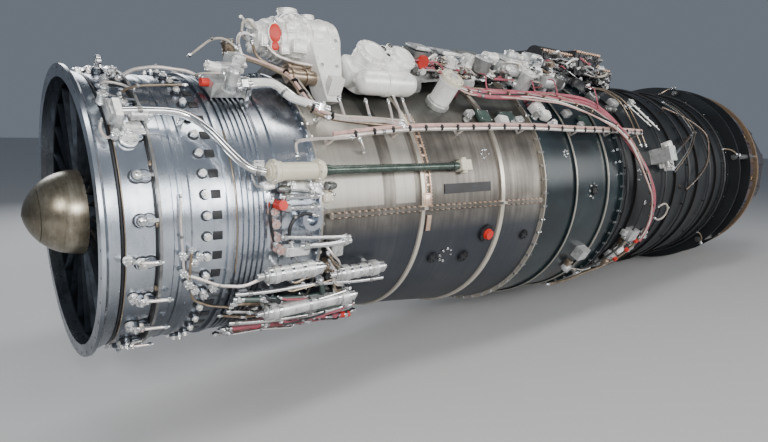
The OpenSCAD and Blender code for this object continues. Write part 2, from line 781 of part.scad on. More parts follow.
// Cooling liner of the afterburner, with corrugations
module afterburner_liner() {
    color("saddlebrown") {
        revolve(concat([for (i = [0:liner_n]) [liner_x0 + i * liner_step, jetpipe_r - 24 + (i % 2) * 7]],
            rev([for (i = [0:liner_n]) [liner_x0 + i * liner_step, jetpipe_r - 27 + (i % 2) * 7]])));
        for (x = [liner_x0, liner_x0 + 7 * liner_step, liner_x0 + liner_n * liner_step - 8])
            ring(x, 8, jetpipe_r - 26, jetpipe_r - jetpipe_wall - gap);
    }
}

// Fixed ring that carries the nozzle flaps and the jack cylinders
module nozzle_housing() {
    color("dimgray")
        difference() {
            union() {
                revolve([[housing_x, jetpipe_r - 20], [housing_x, jetpipe_r], [housing_end - 120, jetpipe_r - 6],
                    [housing_end, hinge_r + 12], [housing_end, hinge_r - 12],
                    [housing_end - 120, jetpipe_r - 20]], 96);
                ring(housing_x, flange_t, jetpipe_r - 10, jetpipe_r + 12);
                ring(housing_x + 30, 12, jetpipe_r - 10, jack_ring_r + jack_r + 8);
                ring(housing_end - 130, 12, jetpipe_r - 12, jack_ring_r + jack_r + 8);
                for (i = [0:flap_count - 1])
                    at_clock(i * flap_step)
                        for (s = [-1, 1])
                            translate([housing_end - 8, s * 62 - 6, hinge_r - 13]) {
                                cube([hinge_x - housing_end + 8, 12, 26]);
                                translate([hinge_x - housing_end + 8, 0, 13])
                                    rotate([-90, 0, 0])
                                        cylinder(h = 12, r = 13, $fn = 32);
                            }
            }
            for (i = [0:flap_count - 1])
                at_clock(i * flap_step)
                    translate([hinge_x, -80, hinge_r])
                        rotate([-90, 0, 0])
                            cylinder(h = 160, r = hinge_pin_r + hinge_gap, $fn = 32);
            for (i = [0:jack_count - 1])
                at_clock(i * 360 / jack_count + 15)
                    translate([housing_x, 0, jack_ring_r])
                        rotate([0, 90, 0])
                            cylinder(h = 400, r = jack_r + bearing_gap);
        }
}

module hinge_pins() {
    color("silver")
        for (i = [0:flap_count - 1])
            at_clock(i * flap_step)
                translate([hinge_x, -72, hinge_r])
                    rotate([-90, 0, 0]) {
                        cylinder(h = 144, r = hinge_pin_r, $fn = 32);
                        translate([0, 0, -4])
                            cylinder(h = 4 - gap, r = hinge_pin_r + 3, $fn = 32);
                        translate([0, 0, 140 + gap])
                            cylinder(h = 4, r = hinge_pin_r + 3, $fn = 32);
                    }
}

module jack_bodies() {
    color("silver")
        for (i = [0:jack_count - 1])
            at_clock(i * 360 / jack_count + 15)
                translate([0, 0, jack_ring_r])
                    difference() {
                        union() {
                            rod(jack_x0, jack_x1 - jack_x0, jack_r);
                            rod(jack_x1 - 12, 12, jack_r + 4);
                            rod(jack_x0 - 12, 14, jack_r - 6);
                        }
                        rod(jack_x1 - 215, 230, rod_r + bearing_gap);
                    }
}

module jack_rods() {
    color("whitesmoke")
        for (i = [0:jack_count - 1])
            at_clock(i * 360 / jack_count + 15)
                translate([0, 0, jack_ring_r])
                    rod(jack_x1 - 195, ring_x - 14 - jack_x1 + 195, rod_r);
}

// Ring pushed by the jacks, with one roller over the rib of each flap
module nozzle_ring() {
    color("gray")
        union() {
            ring(ring_x - 14, 28, ring_in, ring_in + 22);
            for (i = [0:flap_count - 1])
                at_clock(i * flap_step) {
                    for (s = [-1, 1])
                        translate([ring_x - 9, s * 16 - 3, roller_ring_r - 8])
                            cube([18, 6, 30]);
                    translate([ring_x, -22, roller_ring_r])
                        rotate([-90, 0, 0])
                            cylinder(h = 44, r = 5, $fn = 24);
                    translate([ring_x, -11, roller_ring_r])
                        rotate([-90, 0, 0])
                            cylinder(h = 22, r = roller_r, $fn = 32);
                }
        }
}

// Path of a roller centre seen from its flap while the flap closes, as [along, outward] of the hinge
function roller_path(k) = let (a = flap_open_deg + k * flap_travel_deg,
    dx = ring_x - hinge_x + k * ring_travel, dr = roller_ring_r - hinge_r)
    [dx * cos(a) - dr * sin(a), dx * sin(a) + dr * cos(a)];
function cam_point(k) = let (p = roller_path(k), d = unit(roller_path(k + 0.02) - roller_path(k - 0.02)))
    p + (roller_r + gap) * [d[1], -d[0]];

module nozzle_flap(i) {
    color("saddlebrown")
        at_clock(i * flap_step)
            translate([hinge_x, 0, hinge_r])
                rotate([0, flap_open_deg, 0])
                    difference() {
                        union() {
                            // plate
                            translate([0, 0, -flap_t])
                                linear_extrude(flap_t)
                                    polygon([[14, -flap_half_root], [flap_len, -flap_half_tip],
                                        [flap_len, flap_half_tip], [14, flap_half_root]]);
                            // outer lap over the next flap
                            translate([0, flap_half_root - 1, -flap_t + 1])
                                rotate([0, 0, -side_slope])
                                    rotate([-15, 0, 0])
                                        translate([16, 0, flap_t - 1])
                                            linear_extrude(flap_t + lap_gap - 1)
                                                polygon([[0, -14], [flap_len - 22, -14], [flap_len - 22, 4], [0, 4]]);
                            translate([0, flap_half_root - 1, -flap_t + 1])
                                rotate([0, 0, -side_slope])
                                    rotate([-15, 0, 0])
                                        translate([16, 0, flap_t - 1 + lap_gap])
                                            linear_extrude(flap_t - 1)
                                                polygon([[0, -14], [flap_len - 22, -14], [flap_len - 22, lap_w],
                                                    [60, lap_w * 0.7], [0, 14]]);
                            // turned-in edge under the lap of the flap before
                            translate([0, -flap_half_root + 1, -flap_t])
                                rotate([0, 0, side_slope])
                                    rotate([15, 0, 0])
                                        translate([16, -edge_w, 0])
                                            linear_extrude(flap_t - 1)
                                                polygon([[20, 0], [flap_len - 22, 0], [flap_len - 22, edge_w + 4],
                                                    [0, edge_w + 4], [0, edge_w - 4]]);
                            // cam rib under the roller, and the two hinge arms
                            translate([0, 8, 0])
                                rotate([90, 0, 0])
                                    linear_extrude(16)
                                        polygon(concat([[16, -2], [16, 14]],
                                            [for (k = [-0.15:0.1:1.16]) cam_point(k)],
                                            [[240, 26], [flap_len - 60, 0], [flap_len - 60, -2]]));
                            for (s = [-1, 1])
                                translate([0, s * 40 - 12, 0]) {
                                    rotate([-90, 0, 0])
                                        cylinder(h = 24, r = 12.5, $fn = 32);
                                    translate([0, 0, -11])
                                        cube([40, 24, 22]);
                                    translate([30, 8, -2])
                                        cube([flap_len - 120, 8, 12]);
                                }
                        }
                        translate([0, -90, 0])
                            rotate([-90, 0, 0])
                                cylinder(h = 180, r = hinge_pin_r + hinge_gap, $fn = 32);
                    }
}

// Carrier casting of the accessories, saddle-shaped over the top of the duct
module gearbox_form(d) {
    intersection() {
        revolve([[gearbox_x0 - d, skin_r(gearbox_x0) + gearbox_foot - d],
            [gearbox_x0 - d, skin_r(gearbox_x0) + gearbox_top + d],
            [ring_f_x, ring_f_r + gearbox_top + d], [ring_d_x, ring_d_r + gearbox_top + d],
            [gearbox_x1 + d, skin_r(gearbox_x1) + gearbox_top + d],
            [gearbox_x1 + d, skin_r(gearbox_x1) + gearbox_foot - d],
            [ring_d_x, ring_d_r + gearbox_foot - d], [ring_f_x, ring_f_r + gearbox_foot - d]]);
        translate([gearbox_x0 - 20, -gearbox_half - d, 300])
            cube([gearbox_x1 - gearbox_x0 + 40, 2 * (gearbox_half + d), 500]);
    }
}

module accessory_gearbox() {
    color("silver")
        difference() {
            union() {
                gearbox_form(0);
                for (x = [gearbox_x0 + 60, ring_f_x - 60, ring_f_x + 70, ring_d_x - 70, gearbox_x1 - 60])
                    for (a = [68, 112])
                        at_clock(a)
                            translate([x, 0, skin_r(x) - 10])
                                cylinder(h = gearbox_foot + 20, r = 18, $fn = 32);
                for (x = [1230, 1560])
                    translate([x, -gearbox_half - 18, skin_r(x) - 38])
                        rotate([-90, 0, 0])
                            cylinder(h = 40, r = 40, $fn = 48);
                // towers and pumps on top of the casting
                at_clock(68)
                    translate([1206, -40, skin_r(1206) + gearbox_top - 20])
                        cube([92, 80, 92]);
                at_clock(73)
                    translate([1392, -62, skin_r(1392) + gearbox_top - 20])
                        cube([150, 124, 54]);
                at_clock(64)
                    translate([1610, 0, skin_r(1610) + gearbox_top - 20])
                        cylinder(h = 58, r = 38, $fn = 48);
                at_clock(76)
                    translate([1560, 0, skin_r(1560) + gearbox_top + 12])
                        rod(0, 130, 34);
            }
            skin_solid(gap);
        }
}

// Starter turbine with its exhaust stub, on the side leg that reaches down to the duct
module turbo_starter() {
    color("whitesmoke")
        difference() {
            union() {
                translate([0, starter_y, starter_z]) {
                    revolve([[566, 0], [566, 36], [572, 48], [606, 50], [610, 62], [640, 66], [644, 74], [660, 76],
                        [690, 84], [720, 86], [726, 92], [746, 92], [750, 84], [800, 82], [826, 88], [870, 84],
                        [892, 60], [900, 0]]);
                    translate([690, -20, 60])
                        cylinder(h = 36, r = 32, $fn = 40);
                    translate([790, 10, 50])
                        cylinder(h = 44, r = 24, $fn = 40);
                }
                // leg that leans out over the edge of the carrier and narrows toward its foot
                intersection() {
                    translate([leg_x - 90, 0, 0])
                        rotate([90, 0, 90])
                            linear_extrude(180)
                                polygon([[-100, 560], [-100, 640], [-190, 650], [-232, 600], [-345, 372],
                                    [-270, 360], [-180, 500]]);
                    translate([leg_x, 0, 0])
                        rotate([90, 0, 0])
                            linear_extrude(400)
                                polygon([[-64, 650], [64, 650], [50, 560], [-14, 360], [-66, 360], [-70, 560]]);
                }
                translate([leg_x - 66, -345, 392])
                    rotate([28, 0, 0])
                        cube([52, 30, 60]);
            }
            skin_solid(gap);
            gearbox_form(gap);
        }
}

// Housing with two drums whose round covers face out and up on the near side
module oil_tank() {
    color("gainsboro")
        difference() {
            translate([0, tank_y, tank_z])
                rotate([tank_tilt, 0, 0]) {
                    for (p = tank_drums) {
                        translate([p[0], 0, -tank_len])
                            cylinder(h = tank_len, r = p[1], $fn = 48);
                        translate([p[0], 0, -1])
                            cylinder(h = 11, r = p[1] - 14, $fn = 48);
                    }
                    translate([tank_drums[0][0], -10, -tank_len + 14])
                        cube([tank_drums[1][0] - tank_drums[0][0], 52, tank_len - 30]);
                    translate([(tank_drums[0][0] + tank_drums[1][0]) / 2, 26, -60])
                        cylinder(h = 58, r = 24, $fn = 40);
                }
            skin_solid(gap);
            gearbox_form(gap);
        }
}

// Fuel pump drum on the skin, fuel filters and their feet
module fuel_units() {
    color("wheat") {
        difference() {
            at_clock(50)
                translate([1290, 0, skin_r(1290) - 8])
                    cylinder(h = 22, r = 50, $fn = 48);
            skin_solid(gap);
        }
        at_clock(50) {
            translate([1290, 0, skin_r(1290) + 12]) {
                cylinder(h = 112, r = 42, $fn = 48);
                translate([0, 0, 104])
                    cylinder(h = 16, r = 46, $fn = 48);
                translate([0, 0, 118])
                    cylinder(h = 14, r = 16, $fn = 32);
            }
        }
        filter(430, 592, -17.5, 76, 486, 562);
        filter(462, 774, -35, 74, 486, 720);
        filter(700, 860, -22, 60, 724, 840);
    }
}

module filter(x0, x1, a, h, f0, f1) {
    r = skin_r(x0) + h;
    at_clock(a) {
        translate([0, 0, r]) {
            rod(x0, x1 - x0, filter_r);
            rod(x0 + 20, 16, filter_r + 4);
            rod(x1 - 26, 26, filter_r + 4);
        }
        for (x = [f0, f1])
            translate([x, 0, skin_r(x) + gap + slope(x) * 8 + 0.1])
                cylinder(h = r - skin_r(x) - 4, r = 8, $fn = 24);
    }
}

// Dark control boxes over the rear duct
module control_unit() {
    color("dimgray")
        difference() {
            union() {
                translate([2190, -190, control_z])
                    cube([330, 250, 110]);
                translate([2468, -215, control_z])
                    cube([254, 262, 130]);
                translate([2720, -180, jetpipe_r + 5])
                    cube([190, 240, 95]);
                translate([2210, -120, control_z + 90])
                    rotate([0, 90, 0])
                        cylinder(h = 280, r = 46, $fn = 40);
                for (x = [2284, 2500, 2640, 2860])
                    for (y = [-150, 20])
                        translate([x, y, jetpipe_r - 55])
                            cylinder(h = 100, r = 14, $fn = 32);
            }
            skin_solid(gap);
        }
}

module vane_actuator() {
    a = 17;
    r = actuator_line_r;
    color("wheat")
        difference() {
            union() {
                at_clock(a) {
                    translate([0, 0, r]) {
                        rod(440, 184, actuator_r);
                        rod(448, 18, actuator_r + 5);
                        rod(596, 22, actuator_r + 5);
                        rod(434, 10, actuator_r - 8);
                    }
                    for (x = [490, 584])
                        translate([x - 12, -16, skin_r(x) - 4])
                            cube([24, 32, r - skin_r(x)]);
                    translate([1248, -20, skin_r(1248) - 4])
                        cube([56, 40, r + 24 - skin_r(1248)]);
                    translate([1276, -30, r + 4])
                        rotate([-90, 0, 0])
                            cylinder(h = 60, r = 12, $fn = 32);
                }
                at_clock(a)
                    translate([0, 0, r])
                        rod(620, 632, actuator_tube_r);
            }
            skin_solid(gap);
        }
}

// Bright pipes on the case, each held by posts
module steel_pipes() {
    color("gainsboro") {
        tube(route([[86, 41, 50], [150, 41.5, 48], [239, 40.6, 46], [299, 34.5, 46], [345, 25.5, 52],
            [385, 19, 66], [429, 17, actuator_line_r - skin_r(429)]]), bleed_pipe_r, 3);
        clip(247, 40.2, 45, 7);
        tube(route([[440, 53, 50], [520, 54, 58], [590, 53, 58], [626, 46, 58], [700, 40.5, 58]]), 10, 3);
        clip(486, 53.6, 54, 7);
        clip(695, 40.5, 54, 7);
        tube(route([[365, -28, 34], [480, -28, 40], [640, -27, 44], [800, -29, 40], [930, -30, 34]]), 7, 3);
        clip(486, -28, 38, 6);
        clip(920, -30, 30, 6);
        tube(route([[380, -46, 36], [520, -47, 44], [700, -48, 44], [860, -47, 36]]), 9, 3);
        clip(486, -46.7, 40, 7);
        clip(850, -47, 32, 7);
        tube(route([[3164, 48, 44], [3330, 41, 50], [3490, 33, 50], [3525, 26, 50], [3440, 14, 50],
            [3290, 5, 48], [3131, -2, 40]]), 7, 3);
        clip(3180, 47.3, 44, 6);
        clip(3140, -1.6, 40, 6);
        tube(route([[2843, 17, 84], [2960, 18, 62], [3080, 22, 56], [3230, 27, 56], [3300, 28, 44]]), 8, 3);
        clip(3290, 28, 44, 6);
    }
}

// Long pipe under dark clamps from the fan case to the jet pipe
module clamped_pipe() {
    color("mistyrose") {
        tube(route(long_pipe), long_pipe_r, 4);
        for (p = long_pipe)
            clip(p[0], p[1], p[2] - 1, 6);
    }
}

module red_hoses() {
    color("indianred")
        for (k = [0, 1]) {
            tube(route([for (p = hose_line) p - [0, k * hose_apart, 0]]), hose_r, 2);
            for (i = [0, 4, 14])
                clip(hose_line[i][0], hose_line[i][1] - k * hose_apart, hose_line[i][2] - 1, 7);
        }
}

module cap(x, a, h, r, len) {
    at_clock(a)
        translate([x, 0, skin_r(x) + h + gap + (h > 5 && h < 20 ? 0 : slope(x) * (r + 3))]) {
            cylinder(h = len, r = r, $fn = 32);
            cylinder(h = 5, r = r + 3, $fn = 32);
        }
}

module red_caps() {
    color("orangered") {
        cap(482, 6, 0, 15, 62);
        cap(covers[0][0], covers[0][1], 9.6, 20, 16);
        at_clock(68)
            translate([1252, -40 - gap, skin_r(1206) + gearbox_top + 36])
                rotate([90, 0, 0])
                    cylinder(h = 14, r = 27, $fn = 40);
        at_clock(60)
            translate([0, 0, skin_r(400) + 32])
                rod(348, 24 - gap, 13);
    }
}

module lifting_eye() {
    color("silver")
        difference() {
            union() {
                translate([eye_x - 6, -14, inlet_r - 3])
                    cube([12, 28, 40]);
                translate([eye_x - 6, 0, inlet_r + 42])
                    rotate([0, 90, 0])
                        cylinder(h = 12, r = eye_hole_d / 2 + 9, $fn = 40);
                translate([eye_x - 8, -22, inlet_r - 3])
                    cube([16, 44, 12]);
            }
            translate([eye_x - 20, 0, inlet_r + 42])
                rotate([0, 90, 0])
                    cylinder(h = 40, r = eye_hole_d / 2, $fn = 40);
            skin_solid(gap);
        }
}

// Round service covers and the long blank plate
module port_cover(x, a, r) {
    difference() {
        at_clock(a)
            translate([x, 0, skin_r(x) - 8])
                cylinder(h = 17.6, r = r, $fn = 40);
        skin_solid(gap, 360);
    }
    at_clock(a)
        for (i = [0:5])
            translate([x, 0, skin_r(x) + 9])
                rotate([0, 0, i * 60])
                    translate([r - 7, 0, 0])
                        cylinder(h = 4, r = 4, $fn = 6);
}

module port_covers() {
    color("dimgray") {
        for (c = covers)
            port_cover(c[0], c[1], c[2]);
        intersection() {
            revolve([[blank_x0, skin_r(blank_x0) + gap], [blank_x0, skin_r(blank_x0) + gap + 3],
                [blank_x1, skin_r(blank_x1) + gap + 3], [blank_x1, skin_r(blank_x1) + gap]], 360);
            at_clock(7.6)
                translate([blank_x0 - 1, -19, ring_f_r - 20])
                    cube([blank_x1 - blank_x0 + 2, 38, 120]);
        }
    }
}

// Small valve castings and connection boxes seated on the skin
module lying_pump(x, len, a, r, h) {
    at_clock(a) {
        translate([0, 0, skin_r(x) + h])
            rod(x, len, r);
        for (k = [0.22, 0.72])
            translate([x + k * len - 12, -r * 0.7, skin_r(x) - 16])
                cube([24, r * 1.4, h + 8]);
    }
}

module valve_blocks() {
    color("gainsboro")
        difference() {
            union() {
                at_clock(41) {
                    translate([66, -30, inlet_r - 8])
                        cube([18, 60, 74]);
                    translate([60, -12, inlet_r + 22])
                        cube([10, 24, 30]);
                }
                difference() {
                    at_clock(60)
                        translate([372, -38, skin_r(400) - 10])
                            cube([112, 76, 58]);
                    skin_solid(3.4);
                }
                at_clock(17)
                    translate([2760, -40, jetpipe_r - 10])
                        cube([80, 80, 118]);
                at_clock(-24)
                    translate([2580, -34, jetpipe_r - 10])
                        cube([90, 60, 60]);
                at_clock(-30)
                    translate([2130, -30, skin_r(2130) - 20])
                        cube([70, 60, 66]);
                // pump bodies and boxes on the flank of the rear duct
                at_clock(68)
                    translate([1764, -64, skin_r(1764) - 14])
                        cube([176, 128, 118]);
                at_clock(57)
                    translate([1850, 0, skin_r(1850) - 14])
                        cylinder(h = 108, r = 36, $fn = 48);
                lying_pump(1996, 170, 70, 44, 80);
                lying_pump(2000, 160, 58.5, 32, 50);
            }
            skin_solid(gap);
        }
}

inlet_case();
inlet_struts();
spinner();
spinner_cap();
vane_flaps();
unison_ring();
fan_case_front();
locating_pins();
fan_case_rear();
fan_stators();
intermediate_case();
core_case();
duct_upper();
duct_lower();
rear_duct();
combustor_liner();
turbine_case();
exhaust_frame();
mixer();
flame_holder();
afterburner_case();
afterburner_liner();
nozzle_housing();
bearings();
flange_bolts();
split_bolts();
accessory_gearbox();
turbo_starter();
oil_tank();
fuel_units();
control_unit();
vane_actuator();
steel_pipes();
clamped_pipe();
red_hoses();
red_caps();
lifting_eye();
port_covers();
valve_blocks();
jack_bodies();
hinge_pins();
lp_shaft();
fan_rotor();
lp_turbine();
core_compressor();
core_turbine();
nozzle_ring();
jack_rods();
nozzle_flap(0);  // flap_01
nozzle_flap(1);  // flap_02
nozzle_flap(2);  // flap_03
nozzle_flap(3);  // flap_04
nozzle_flap(4);  // flap_05
nozzle_flap(5);  // flap_06
nozzle_flap(6);  // flap_07
nozzle_flap(7);  // flap_08
nozzle_flap(8);  // flap_09
nozzle_flap(9);  // flap_10
nozzle_flap(10);  // flap_11
nozzle_flap(11);  // flap_12
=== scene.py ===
import math
import random

import bmesh
import bpy
from mathutils import Matrix, Vector


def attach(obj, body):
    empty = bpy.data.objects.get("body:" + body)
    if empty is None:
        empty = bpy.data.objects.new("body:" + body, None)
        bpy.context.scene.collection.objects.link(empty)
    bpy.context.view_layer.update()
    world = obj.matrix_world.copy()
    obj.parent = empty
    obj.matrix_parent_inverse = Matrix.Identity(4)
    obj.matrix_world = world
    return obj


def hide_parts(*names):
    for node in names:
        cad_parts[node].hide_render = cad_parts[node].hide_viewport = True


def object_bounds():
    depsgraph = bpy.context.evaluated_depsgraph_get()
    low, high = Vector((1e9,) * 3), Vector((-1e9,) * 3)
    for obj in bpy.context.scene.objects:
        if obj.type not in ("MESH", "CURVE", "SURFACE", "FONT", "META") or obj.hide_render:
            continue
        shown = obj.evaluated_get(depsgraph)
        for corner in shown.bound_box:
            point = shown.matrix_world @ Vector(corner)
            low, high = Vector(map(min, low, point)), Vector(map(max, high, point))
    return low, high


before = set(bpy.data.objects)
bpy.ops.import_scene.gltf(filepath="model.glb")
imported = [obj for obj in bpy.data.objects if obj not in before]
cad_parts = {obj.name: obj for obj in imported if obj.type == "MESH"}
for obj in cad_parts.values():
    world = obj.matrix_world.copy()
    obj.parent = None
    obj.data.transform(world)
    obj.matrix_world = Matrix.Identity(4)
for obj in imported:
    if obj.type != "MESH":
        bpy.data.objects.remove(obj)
cadLow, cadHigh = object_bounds()
print("stage 1: frame loaded")

# New pieces are built in millimetres on the case's own axis and brought to metres when they are closed.
mm = 0.001
stations = [-5, 10, 50, 143, 345, 640, 1081, 1487, 1738, 2372]    # along the axis
caseRadii = [450, 450, 426, 429, 440, 458, 482, 531, 562, 590]     # outer skin at those stations
jetPipeFrom, jetPipeRadius = 2372, 575


def skin(station):
    if station > jetPipeFrom:
        return jetPipeRadius
    for i in range(len(stations) - 1):
        if station <= stations[i + 1]:
            share = (station - stations[i]) / (stations[i + 1] - stations[i])
            return caseRadii[i] + (caseRadii[i + 1] - caseRadii[i]) * share
    return caseRadii[-1]


def onCase(station, clock, height=0.0):
    # clock is the angle above the near side, height is over the skin
    a, r = math.radians(clock), skin(station) + height
    return Vector((station, -r * math.cos(a), r * math.sin(a)))


def seat(station, clock, height=0.0, turn=0.0):
    # Z points away from the axis, X to the rear
    a, p = math.radians(clock), onCase(station, clock, height)
    frameMatrix = Matrix(((1, 0, 0, p.x), (0, math.sin(a), -math.cos(a), p.y), (0, math.cos(a), math.sin(a), p.z),
            (0, 0, 0, 1)))
    return frameMatrix @ spin(turn)


def around(station, clock, radius):
    # a point at a distance from the axis itself
    return onCase(station, clock, radius - skin(station))


def shift(x, y, z):
    return Matrix.Translation((x, y, z))


def spin(degrees, axis="Z"):
    return Matrix.Rotation(math.radians(degrees), 4, axis)


def aimed(place, direction):
    # Z along a direction
    turn = Vector(direction).normalized().to_track_quat("Z", "Y").to_matrix().to_4x4()
    return Matrix.Translation(Vector(place)) @ turn


# Shaders: a Field is a socket that takes part in Python expressions
class Field:
    def __init__(self, shader, socket):
        self.shader, self.socket = shader, socket

    def math(self, operation, *others):
        values = dict(enumerate([self, *others]))
        return self.shader.add("ShaderNodeMath", {"operation": operation}, values)

    def __add__(self, other):
        return self.math("ADD", other)

    __radd__ = __add__

    def __sub__(self, other):
        return self.math("SUBTRACT", other)

    def __rsub__(self, other):
        return self.shader.add("ShaderNodeMath", {"operation": "SUBTRACT"}, {0: other, 1: self})

    def __mul__(self, other):
        return self.math("MULTIPLY", other)

    def clipped(self):
        return self.math("MAXIMUM", 0.0).math("MINIMUM", 1.0)


class Shader:
    def __init__(self, name):
        self.material = bpy.data.materials.new(name)
        self.material.use_nodes = True
        self.tree = self.material.node_tree
        self.surface = self.tree.nodes["Principled BSDF"]

    def add(self, kind, settings=None, inputs=None, output=0):
        node = self.tree.nodes.new(kind)
        for key, value in (settings or {}).items():
            if key == "stops":
                while len(node.color_ramp.elements) < len(value):
                    node.color_ramp.elements.new(0.5)
                for element, (position, colour) in zip(node.color_ramp.elements, value):
                    element.position, element.color = position, (*colour, 1)
            else:
                setattr(node, key, value)
        for key, value in (inputs or {}).items():
            self.feed(node.inputs[key], value)
        return Field(self, node.outputs[output])

    def feed(self, socket, value):
        if isinstance(value, Field):
            self.tree.links.new(value.socket, socket)
        else:
            socket.default_value = value

    def place(self):
        return self.add("ShaderNodeTexCoord", output="Object")

    def axes(self):
        # station, angle round the axis and distance from it, in metres and radians
        p = self.place()
        x, y, z = (self.add("ShaderNodeSeparateXYZ", inputs={0: p}, output=i) for i in range(3))
        return x, z.math("ARCTAN2", y * -1.0), (y * y + z * z).math("SQRT"), y, z

    def noise(self, vector, scale, detail=3.0, roughness=0.5):
        return self.add("ShaderNodeTexNoise",
                inputs={"Vector": vector, "Scale": scale, "Detail": detail, "Roughness": roughness})

    def joined(self, x, y, z):
        return self.add("ShaderNodeCombineXYZ", inputs={0: x, 1: y, 2: z})

    def mix(self, factor, first, second):
        return self.add("ShaderNodeMix", {"data_type": "RGBA"}, {0: factor, 6: first, 7: second}, 2)

    def ramp(self, factor, *stops):
        return self.add("ShaderNodeValToRGB", {"stops": stops}, {0: factor})

    def between(self, value, low, high):
        # 0 below low, 1 above high
        return self.add("ShaderNodeMapRange", {"clamp": True}, {0: value, 1: low, 2: high, 3: 0.0, 4: 1.0})

    def bump(self, height, strength, distance):
        return self.add("ShaderNodeBump", inputs={"Height": height, "Strength": strength, "Distance": distance})

    def finish(self, colour, roughness, metallic=0.0, normal=None, coat=None):
        self.feed(self.surface.inputs["Base Color"], colour)
        self.feed(self.surface.inputs["Roughness"], roughness)
        self.feed(self.surface.inputs["Metallic"], metallic)
        if normal is not None:
            self.feed(self.surface.inputs["Normal"], normal)
        if coat is not None:
            self.feed(self.surface.inputs["Coat Weight"], coat)
            self.surface.inputs["Coat Roughness"].default_value = 0.25
        return self.material


def rgb(r, g, b):
    return (r, g, b, 1)


def turnedAlloy(name, light, dark, roughness, inside=None):
    # turned case metal: fine rings from the lathe, stains that run down, and painted shade that darkens the bottom
    # and the top of the case
    s = Shader(name)
    x, angle, radius, y, z = s.axes()
    fine = s.noise(s.joined(x * 900.0, angle * 2.0, radius * 40.0), 1.0, 2.0)
    stains = s.noise(s.joined(x * 16.0, angle * 3.0, radius * 6.0), 1.0, 5.0, 0.62)
    clouds = s.noise(s.place(), 9.0, 4.0, 0.6)
    grime = s.between(stains * 0.6 + clouds * 0.5, 0.46, 0.72)
    colour = s.mix(grime, light, dark)
    colour = s.mix(fine * 0.22, colour, rgb(0.95, 0.97, 1.0))
    low = s.between(z * -1.0, 0.05, 0.25)          # painted shade: darker towards the bottom, a painted dark reflection
    colour = s.mix(low * 0.78, colour, rgb(0.030, 0.038, 0.055))
    # painted shade: darker towards the top, a painted dark reflection
    colour = s.mix(s.between(z, 0.24, 0.37) * 0.72, colour, rgb(0.036, 0.044, 0.060))
    rough = roughness + grime * 0.16 + fine * 0.06 + low * 0.08
    if inside is not None:            # painted shade: the air path is painted dark behind its bright entry
        paintedInletShade = s.between(x, 0.034, 0.042) * (1.0 - s.between(radius, 0.4135, 0.4145))
        colour = s.mix(paintedInletShade, colour, inside)
        rough = rough + paintedInletShade * 0.2
    return s.finish(colour, rough.clipped(), 0.96, s.bump(fine * 0.35 + clouds, 0.2, 0.001))


def plainMetal(name, light, dark, roughness, metallic=0.9, grain=120.0, strength=0.15, sootFrom=None):
    s = Shader(name)
    wear = s.noise(s.place(), 14.0, 5.0, 0.65)
    fine = s.noise(s.place(), grain * 5.0, 2.0)
    grime = s.between(wear, 0.42, 0.7)
    colour = s.mix(grime, light, dark)
    rough = roughness + grime * 0.18 + fine * 0.06
    if sootFrom is not None:            # brown with heat where it runs along the hot end
        soot = s.between(s.axes()[0], sootFrom, sootFrom + 0.06)
        colour = s.mix(soot * 0.9, colour, rgb(0.12, 0.08, 0.055))
        rough = rough + soot * 0.2
    return s.finish(colour, rough.clipped(), metallic, s.bump(fine, strength, 0.0006))


def castMetal(name, light, dark, roughness, metallic, oily=0.5):
    # sand-cast surface with oily smears
    s = Shader(name)
    grains = s.noise(s.place(), 420.0, 2.0)
    clouds = s.noise(s.place(), 11.0, 5.0, 0.7)
    smears = s.between(s.noise(s.place(), 30.0, 5.0, 0.75), 0.50, 0.66)
    colour = s.mix(s.between(clouds, 0.4, 0.7), light, dark)
    colour = s.mix(smears * oily, colour, rgb(0.11, 0.095, 0.08))
    return s.finish(colour, (roughness + clouds * 0.2 - smears * 0.12).clipped(), metallic,
            s.bump(grains, 0.28, 0.0008))


def painted(name, light, dark, roughness, chips, coat=0.2):
    # brushed paint with soft dirt and small chips
    s = Shader(name)
    clouds = s.noise(s.place(), 8.0, 5.0, 0.65)
    peel = s.noise(s.place(), 260.0, 2.0)
    chipped = s.between(s.noise(s.place(), 60.0, 6.0, 0.75), 0.655, 0.69)
    colour = s.mix(s.between(clouds, 0.38, 0.72), light, dark)
    colour = s.mix(chipped, colour, chips)
    return s.finish(colour, (roughness + clouds * 0.14).clipped(), chipped * 0.7,
            s.bump(peel * 0.4 - chipped, 0.16, 0.0006), coat)


